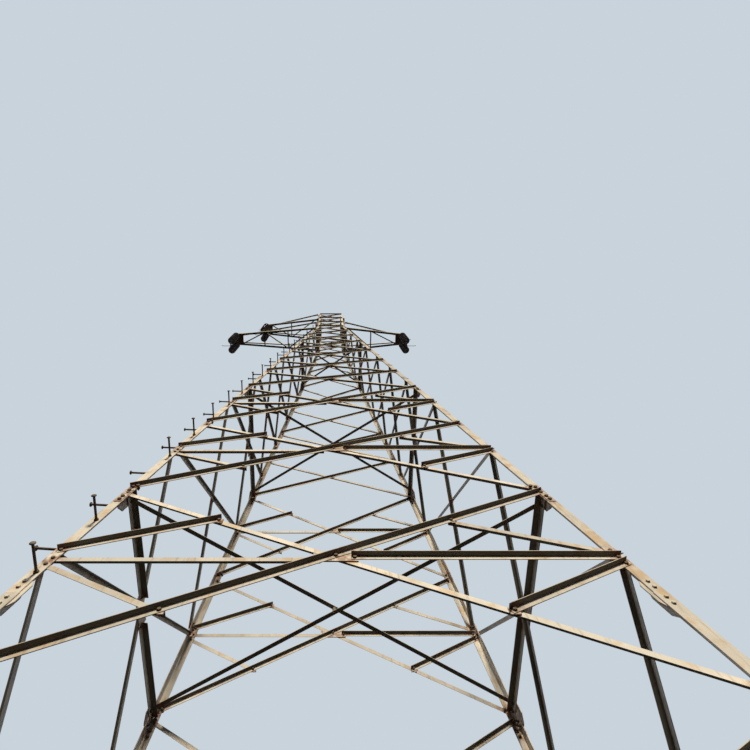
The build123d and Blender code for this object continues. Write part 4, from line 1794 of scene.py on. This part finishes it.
@dataclass(frozen=True)
class WireClamp:
    """Boat-shaped clamp along Y with flared mouths, U-bolts and two hanging straps.

    The outline runs from a mouth to the middle, and its shares, like those of the
    bars and straps, are of the radius and of half the length.
    """

    radius: float = 0.029
    half_length: float = 0.120
    bolt: float = 0.010
    outline: Outline = (
        (0.0, 1.0), (0.62, 1.0), (0.80, 0.985), (0.86, 0.95), (0.80, 0.89), (0.68, 0.80),
        (0.70, 0.68), (0.90, 0.46), (0.99, 0.30), (1.0, 0.16),
    )
    throat: Pair = (0.68, 0.80)
    u_bolt_drop: float = 0.75
    u_bolt_bend: float = 0.98
    bar_drop: float = 0.38
    bar_depth: float = 0.3
    bar_half: float = 1.1
    bar_rounding: float = 0.8
    strap_half: float = 0.62
    strap_thickness: float = 0.006
    strap_bolt: float = 0.014

    def build(self, target: BMesh, centre: Vector, hung: float, pin: float) -> None:
        """Adds the clamp and the straps that hold it to a plate above.

        Args:
            target: Bmesh that receives it.
            centre: Middle of the clamp.
            hung: Half the thickness, along X, of the plate that it hangs from.
            pin: Height of the strap's bolt over the middle of the clamp.
        """
        outline = [(r * self.radius, -h * self.half_length) for r, h in self.outline]
        outline += [(r, -h) for r, h in reversed(outline)]
        body = spun("clamp_body", outline, steps=20)
        stamp(target, body, Matrix.Translation(centre) @ UP_TO_FRONT)
        for way in (-1, 1):
            place = centre + BACK * (way * self.throat[1] * self.half_length)
            self._u_bolt(target, place)
        half = self.radius * self.strap_half
        ends = dict.fromkeys((2, 3), half * ROUND_END)
        outline = rectangle((-half, 0), (half, pin + half))
        for way in (-1, 1):
            face = centre + RIGHT * (way * (hung + PLAY))
            plate(target, face, (BACK, UP, RIGHT * way), outline, self.strap_thickness, ends)
        size = BoltSize(self.strap_bolt)
        size.through(target, centre + UP * pin, RIGHT, hung + self.strap_thickness)

    def _u_bolt(self, target: BMesh, place: Vector) -> None:
        """Adds a U-bolt, its nuts and the flat bar that both its ends pass through.

        Args:
            target: Bmesh that receives them.
            place: Where it goes round the clamp's line.
        """
        arch = self.radius * self.throat[0] + self.bolt / 2
        drop = UP * (-self.radius * self.u_bolt_drop)
        sides = (RIGHT * -arch, RIGHT * arch)
        line = [place + sides[0] + drop]
        line += [place + side + UP * arch for side in sides]
        line += [place + sides[1] + drop]
        BentRod(self.bolt / 2, arch * self.u_bolt_bend, sides=8).build(target, line)
        reach, deep = arch + self.bolt, self.bolt * self.bar_half
        foot = place - UP * (self.radius * self.bar_drop)
        outline = rectangle((-reach, -deep), (reach, deep))
        rounding = dict.fromkeys(range(4), deep * self.bar_rounding)
        plate(target, foot, (RIGHT, BACK, UP), outline, self.radius * self.bar_depth, rounding)
        nut = BoltSize(self.bolt).nut()
        for side in sides:
            stamp(target, nut, frame_at(place + side + drop * 0.5, -UP))


@dataclass(frozen=True)
class ArcingHorn:
    """Round horn that leaves a plate, turns its end up or down and ends in a ball."""

    BALL_STEPS = 8

    reach: float = 0.338
    turn: float = 0.080
    radius: float = 0.008
    ball: float = 0.013
    bend: float = 0.060
    nut: float = 0.014

    def build(self, target: BMesh, root: Vector, start: float, side: int, way: int) -> None:
        """Adds the horn.

        Args:
            target: Bmesh that receives it.
            root: Point on the set's line that the reach is measured from.
            start: Distance from the root to the face that the horn leaves.
            side: Direction along X.
            way: 1 where the end turns up, -1 where it turns down.
        """
        out = RIGHT * side
        step = self.turn * math.sqrt(0.5)
        end = root + out * (self.reach - self.ball) + UP * (way * (step - self.radius))
        corner = root + out * (self.reach - self.radius - step)
        first = root + out * start
        BentRod(self.radius, self.bend, sides=12).build(target, [first, corner, end])
        turns = [math.pi * n / self.BALL_STEPS for n in range(1, self.BALL_STEPS)]
        around = [(self.ball * math.sin(a), -self.ball * math.cos(a)) for a in turns]
        ball = spun("ball", [(0, -self.ball), *around, (0, self.ball)], steps=14)
        stamp(target, ball, Matrix.Translation(end))
        stamp(target, BoltSize(self.nut).nut(), frame_at(first, out))


@dataclass(frozen=True)
class SocketClevis:
    """Clevis that joins the pin of the lowest disc to the yoke."""

    half: float = 0.016
    cheek: float = 0.007
    cheek_range: Pair = (-0.032, 0.012)
    block_range: Pair = (0.001, 0.026)
    block_rounding: float = 0.009
    bolt: float = 0.012
    bolt_drop: float = 0.016

    def build(self, target: BMesh, place: Vector, yoke: float) -> None:
        """Adds the clevis.

        Args:
            target: Bmesh that receives it.
            place: Foot of the disc's pin.
            yoke: Thickness of the yoke plate between the cheeks.
        """
        out, half = yoke / 2 + PLAY, self.half
        low, high = self.cheek_range
        for way in (-1, 1):
            face, axes = place + RIGHT * (way * out), (BACK, UP, RIGHT * way)
            ends = dict.fromkeys((0, 1), half * ROUND_END)
            plate(target, face, axes, rectangle((-half, low), (half, high)), self.cheek, ends)
        wide = out + self.cheek
        low, high = self.block_range
        outline = rectangle((-wide, low), (wide, high))
        rounding = dict.fromkeys((2, 3), self.block_rounding)
        start, axes = place - BACK * half, (RIGHT, UP, BACK)
        plate(target, start, axes, outline, 2 * half, rounding, FORGED_EASE)
        BoltSize(self.bolt).through(target, place - UP * self.bolt_drop, RIGHT, wide)


@dataclass
class InsulatorSet:
    """Two strings, their shackles, the yoke, the wire clamp and the horn of one arm."""

    arm: str
    disc_radius: float = 0.1275
    pin_above: float = 0.070
    yoke_thickness: float = 0.014
    yoke_height: float = 0.090
    yoke_end: float = 0.040
    yoke_foot: float = 0.050
    yoke_rounding: Pair = (0.012, 0.018)
    yoke_ease: float = 0.0015
    clamp_lap: float = 0.008
    strap_bolt_drop: float = 0.072
    clamp: WireClamp = field(default_factory=WireClamp)

    def build(self, finishes: Finishes) -> None:
        """Makes the strings and dresses the fittings.

        Args:
            finishes: Materials.
        """
        node, body = f"insulators_{self.arm}", f"set_{self.arm}"
        low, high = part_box(node)
        offset = high.y - self.disc_radius
        middle = Vector(((low.x + high.x) / 2, 0, low.z))
        rise = UP * (high.z - low.z)
        porcelain, metal, fittings = bmesh.new(), bmesh.new(), bmesh.new()
        for y in (-offset, offset):
            foot = middle + BACK * y
            DiscString().stamp_on(porcelain, metal, foot + rise)
            Shackle().build(fittings, foot + rise + UP * self.pin_above)
            SocketClevis().build(fittings, foot, self.yoke_thickness)
        self._yoke(fittings, middle, offset + self.yoke_end)
        drop = self.yoke_height - self.clamp_lap + self.clamp.radius
        strap_bolt = drop - self.strap_bolt_drop
        self.clamp.build(fittings, middle - UP * drop, self.yoke_thickness / 2, strap_bolt)
        root = middle - UP * (self.yoke_height / 2)
        side = 1 if middle.x > 0 else -1
        ArcingHorn().build(fittings, root, self.yoke_thickness / 2, side, 1)
        shells = piece(
            f"disc_shells_{self.arm}", porcelain, finishes.porcelain, body
        )
        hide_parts(node)
        piece(f"disc_caps_{self.arm}", metal, finishes.cap, body)
        obj = piece(f"hanging_fittings_{self.arm}", fittings, finishes.cap, body)
        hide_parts(f"fittings_{self.arm}")

    def _yoke(self, target: BMesh, top: Vector, reach: float) -> None:
        """Adds the yoke plate with rounded corners.

        Args:
            target: Bmesh that receives it.
            top: Middle of its upper edge.
            reach: Half its length.
        """
        end, foot, height = -self.yoke_end, self.yoke_foot, -self.yoke_height
        outline = [(-reach, 0), (reach, 0), (reach, end), (foot, height), (-foot, height)]
        outline.append((-reach, end))
        corner, shoulder = self.yoke_rounding
        radii = dict.fromkeys(range(6), corner) | dict.fromkeys((2, 5), shoulder)
        start = top - RIGHT * (self.yoke_thickness / 2)
        axes = (BACK, UP, RIGHT)
        plate(target, start, axes, outline, self.yoke_thickness, radii, self.yoke_ease)


@dataclass
class Arm:
    """Chords, web and ties of one cross-arm."""

    name: str
    bolt: float = 0.016
    tip_bolts: tuple[float, ...] = (0.085, 0.145)
    horn: ArcingHorn = field(default_factory=ArcingHorn)
    horn_start: float = 0.0605
    horn_above: float = 0.083

    PARTS = (("chords", Facing.LEVEL), ("web", Facing.LEVEL), ("ties", Facing.UPRIGHT))

    def build(self, shop: Shop) -> None:
        """Bolts and rolls the arm's bars, eases its tip plate and adds the upper horn.

        Args:
            shop: Materials, bolts and tones.
        """
        for part, facing in self.PARTS:
            bars = BarSet(f"arm_{self.name}_{part}", facing, f"arm_{self.name}").read()
            bars.bolt_ends(shop.bolting, self.bolt)
            if part == "chords":
                for bar, inset in product(bars.bars, self.tip_bolts):
                    outward = abs((bar.heel + bar.travel).x) > abs(bar.heel.x)
                    station = bar.length - inset if outward else inset
                    bars.bolt_at(shop.bolting, bar, station, self.bolt)
            bars.build(shop)
        node = f"arm_{self.name}_tip"
        low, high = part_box(node)
        side = 1 if high.x > 0 else -1
        far = high.x if side > 0 else low.x
        root = Vector((far - side * self.horn.reach, 0, low.z + self.horn_above))
        start = root + RIGHT * (side * self.horn_start)
        tip = PlateSet(node, trim=(start, RIGHT * side)).eased()
        self.horn.build(tip, root, self.horn_start, side, -1)
        obj = piece(f"tip_{self.name}", tip, shop.finishes.plate)
        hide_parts(node)


@dataclass
class EarthWire:
    """Beam over the cage and the clamp that hangs from its end."""

    clamp: WireClamp = field(default_factory=lambda: WireClamp(0.022, 0.080, 0.008))
    hanger: Pair = (0.012, 0.050)
    hanger_rounding: float = 0.012
    below: float = 0.090
    strap_pin: float = 0.034
    bolt: float = 0.016
    bolt_places: tuple[float, ...] = (-0.585, -0.440, 0.440)
    half_pitch: float = 0.018

    def build(self, shop: Shop) -> None:
        """Bolts and rolls the beam and makes its hanger and clamp.

        Args:
            shop: Materials, bolts and tones.
        """
        beam = BarSet("earth_beam", Facing.LEVEL, "earth").read()
        bar = beam.bars[0]
        for x, way in product(self.bolt_places, (-1, 1)):
            station = abs(x + way * self.half_pitch - bar.heel.x)
            beam.bolt_at(shop.bolting, bar, station, self.bolt)
        beam.build(shop)
        low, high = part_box("earth_clamp")
        x = (low.x + high.x) / 2
        thick, wide = self.hanger
        start = Vector((x - thick / 2, 0, high.z))
        outline = rectangle((-wide / 2, 0), (wide / 2, -self.below))
        rounding = dict.fromkeys((2, 3), self.hanger_rounding)
        bm = bmesh.new()
        plate(bm, start, (BACK, UP, RIGHT), outline, thick, rounding)
        centre = Vector((x, 0, low.z + self.clamp.radius))
        self.clamp.build(bm, centre, thick / 2, self.strap_pin)
        obj = piece("earth_fittings", bm, shop.finishes.cap)
        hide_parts("earth_clamp")


@dataclass
class TieGussets:
    """Bent gussets that hold the arm ties to the cage's legs, with four bolts each."""

    node: str = "tie_gussets"
    seat_zone: float = 0.012
    depth: float = 0.004
    half_pitch: Pair = (0.018, 0.034)
    bolt: float = 0.016

    def bolt_up(self, bolting: Bolting) -> None:
        """Bolts each gusset through the flange that it is seated on.

        Args:
            bolting: Receives the bolts.
        """
        half_y, half_z = self.half_pitch
        for points in node_islands(self.node):
            inner = min(abs(p.x) for p in points)
            seat = [p for p in points if abs(p.x) < inner + self.seat_zone]
            centre = centroid(seat)
            side = 1 if centre.x > 0 else -1
            centre.x = side * (inner + self.depth)
            for up, back in BOTH_WAYS:
                point = centre + Vector((0, back * half_y, up * half_z))
                bolting.add("cleats", point, RIGHT * side, self.bolt)


@dataclass
class Camera:
    """The photograph's viewpoint, solved from the bolted joints."""

    place: Triple = (-0.0422, -3.5484, 1.6977)
    pitch_degrees: float = 74.987
    focal_pixels: float = 504.44
    centre_pixels: float = 329.81
    frame_pixels: int = 750
    sensor: float = 36.0
    clip: Pair = (0.05, 600)

    def build(self) -> None:
        """Adds the camera and makes it the scene's."""
        data = bpy.data.cameras.new("photo_camera")
        data.sensor_width = self.sensor
        data.lens = self.focal_pixels / self.frame_pixels * self.sensor
        data.shift_x = 0.5 - self.centre_pixels / self.frame_pixels
        data.clip_start, data.clip_end = self.clip
        camera = add_object("photo_camera", data)
        camera.location = self.place
        camera.rotation_euler = (math.radians(90 + self.pitch_degrees), 0, 0)
        bpy.context.scene.camera = camera


@dataclass(frozen=True)
class Sun:
    """A broad distant lamp that shines along a direction."""

    name: str
    strength: float
    angle: float
    direction: Triple
    colour: str = "#E8EEFF"

    def build(self) -> None:
        """Adds the lamp."""
        data = bpy.data.lights.new(self.name, "SUN")
        data.energy = self.strength
        data.angle = math.radians(self.angle)
        data.color = linear(self.colour)[:3]
        turn = Vector(self.direction).to_track_quat("-Z", "Y")
        add_object(self.name, data).rotation_euler = turn.to_euler()


@dataclass
class Studio:
    """Pale floor, pale background and soft light."""

    floor_half: float = 160.0
    floor_drop: float = 0.002
    background: str = "#C9D3DC"
    ambient: str = "#E9EEF5"
    ambient_strength: float = 0.03
    lamps: tuple[Sun, ...] = (
        Sun("key_light", 3.9, 9, (-0.05, 0.86, -0.46), "#FFF3E0"),
        Sun("back_light", 1.2, 40, (0.12, -0.80, -0.60)),
        Sun("left_light", 0.5, 40, (0.90, 0.10, -0.40)),
        Sun("right_light", 0.5, 40, (-0.90, 0.10, -0.40)),
    )

    def build(self) -> None:
        """Adds the floor, the lamps and the world."""
        bm = bmesh.new()
        bmesh.ops.create_grid(bm, x_segments=8, y_segments=8, size=self.floor_half)
        bmesh.ops.translate(bm, verts=bm.verts[:], vec=UP * -self.floor_drop)
        mesh = bpy.data.meshes.new("floor")
        bm.to_mesh(mesh)
        bm.free()
        mesh.materials.append(StudioFloor().build())
        floor = add_object("floor", mesh)
        for lamp in self.lamps:
            lamp.build()
        self._world()

    def _world(self) -> None:
        """Lights from all round, and shows the pale background to the eye."""
        world = bpy.data.worlds.new("pale_studio")
        bpy.context.scene.world = world
        graph = Graph(world)
        settings = {"Color": self.ambient, "Strength": self.ambient_strength}
        light = graph.add("Background", settings)
        visible = graph.add("Background", {"Color": self.background})
        graph.add("OutputWorld", {"Surface": graph.shown(light, visible)})
        bpy.context.scene.view_settings.view_transform = "Standard"


def main() -> None:
    """Builds the pieces in order."""
    logging.basicConfig(level=logging.INFO)
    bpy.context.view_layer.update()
    shop = Shop()
    finishes, bolting = shop.finishes, shop.bolting

    lattice = Lattice()
    lattice.read()
    lattice.bolt_up(bolting)
    lattice.build(shop)
    for name in ("left", "right", "upper"):
        Arm(name).build(shop)
        InsulatorSet(name).build(finishes)
    for name, level in STRUT_LEVELS.items():
        Diaphragm(name, level).build(shop)
    EarthWire().build(shop)
    TieGussets().bolt_up(bolting)
    JointPlates().build(shop)
    Legs().build(shop)
    LegSplices().build(shop)
    for node in ("packing_plates", "tie_gussets"):
        PlateSet(node).build(finishes.plate)
    Feet().build(finishes)
    StepLadder().build(shop)
    bolting.dress(finishes)

    Studio().build()
    Camera().build()


if __name__ == "__main__":
    main()
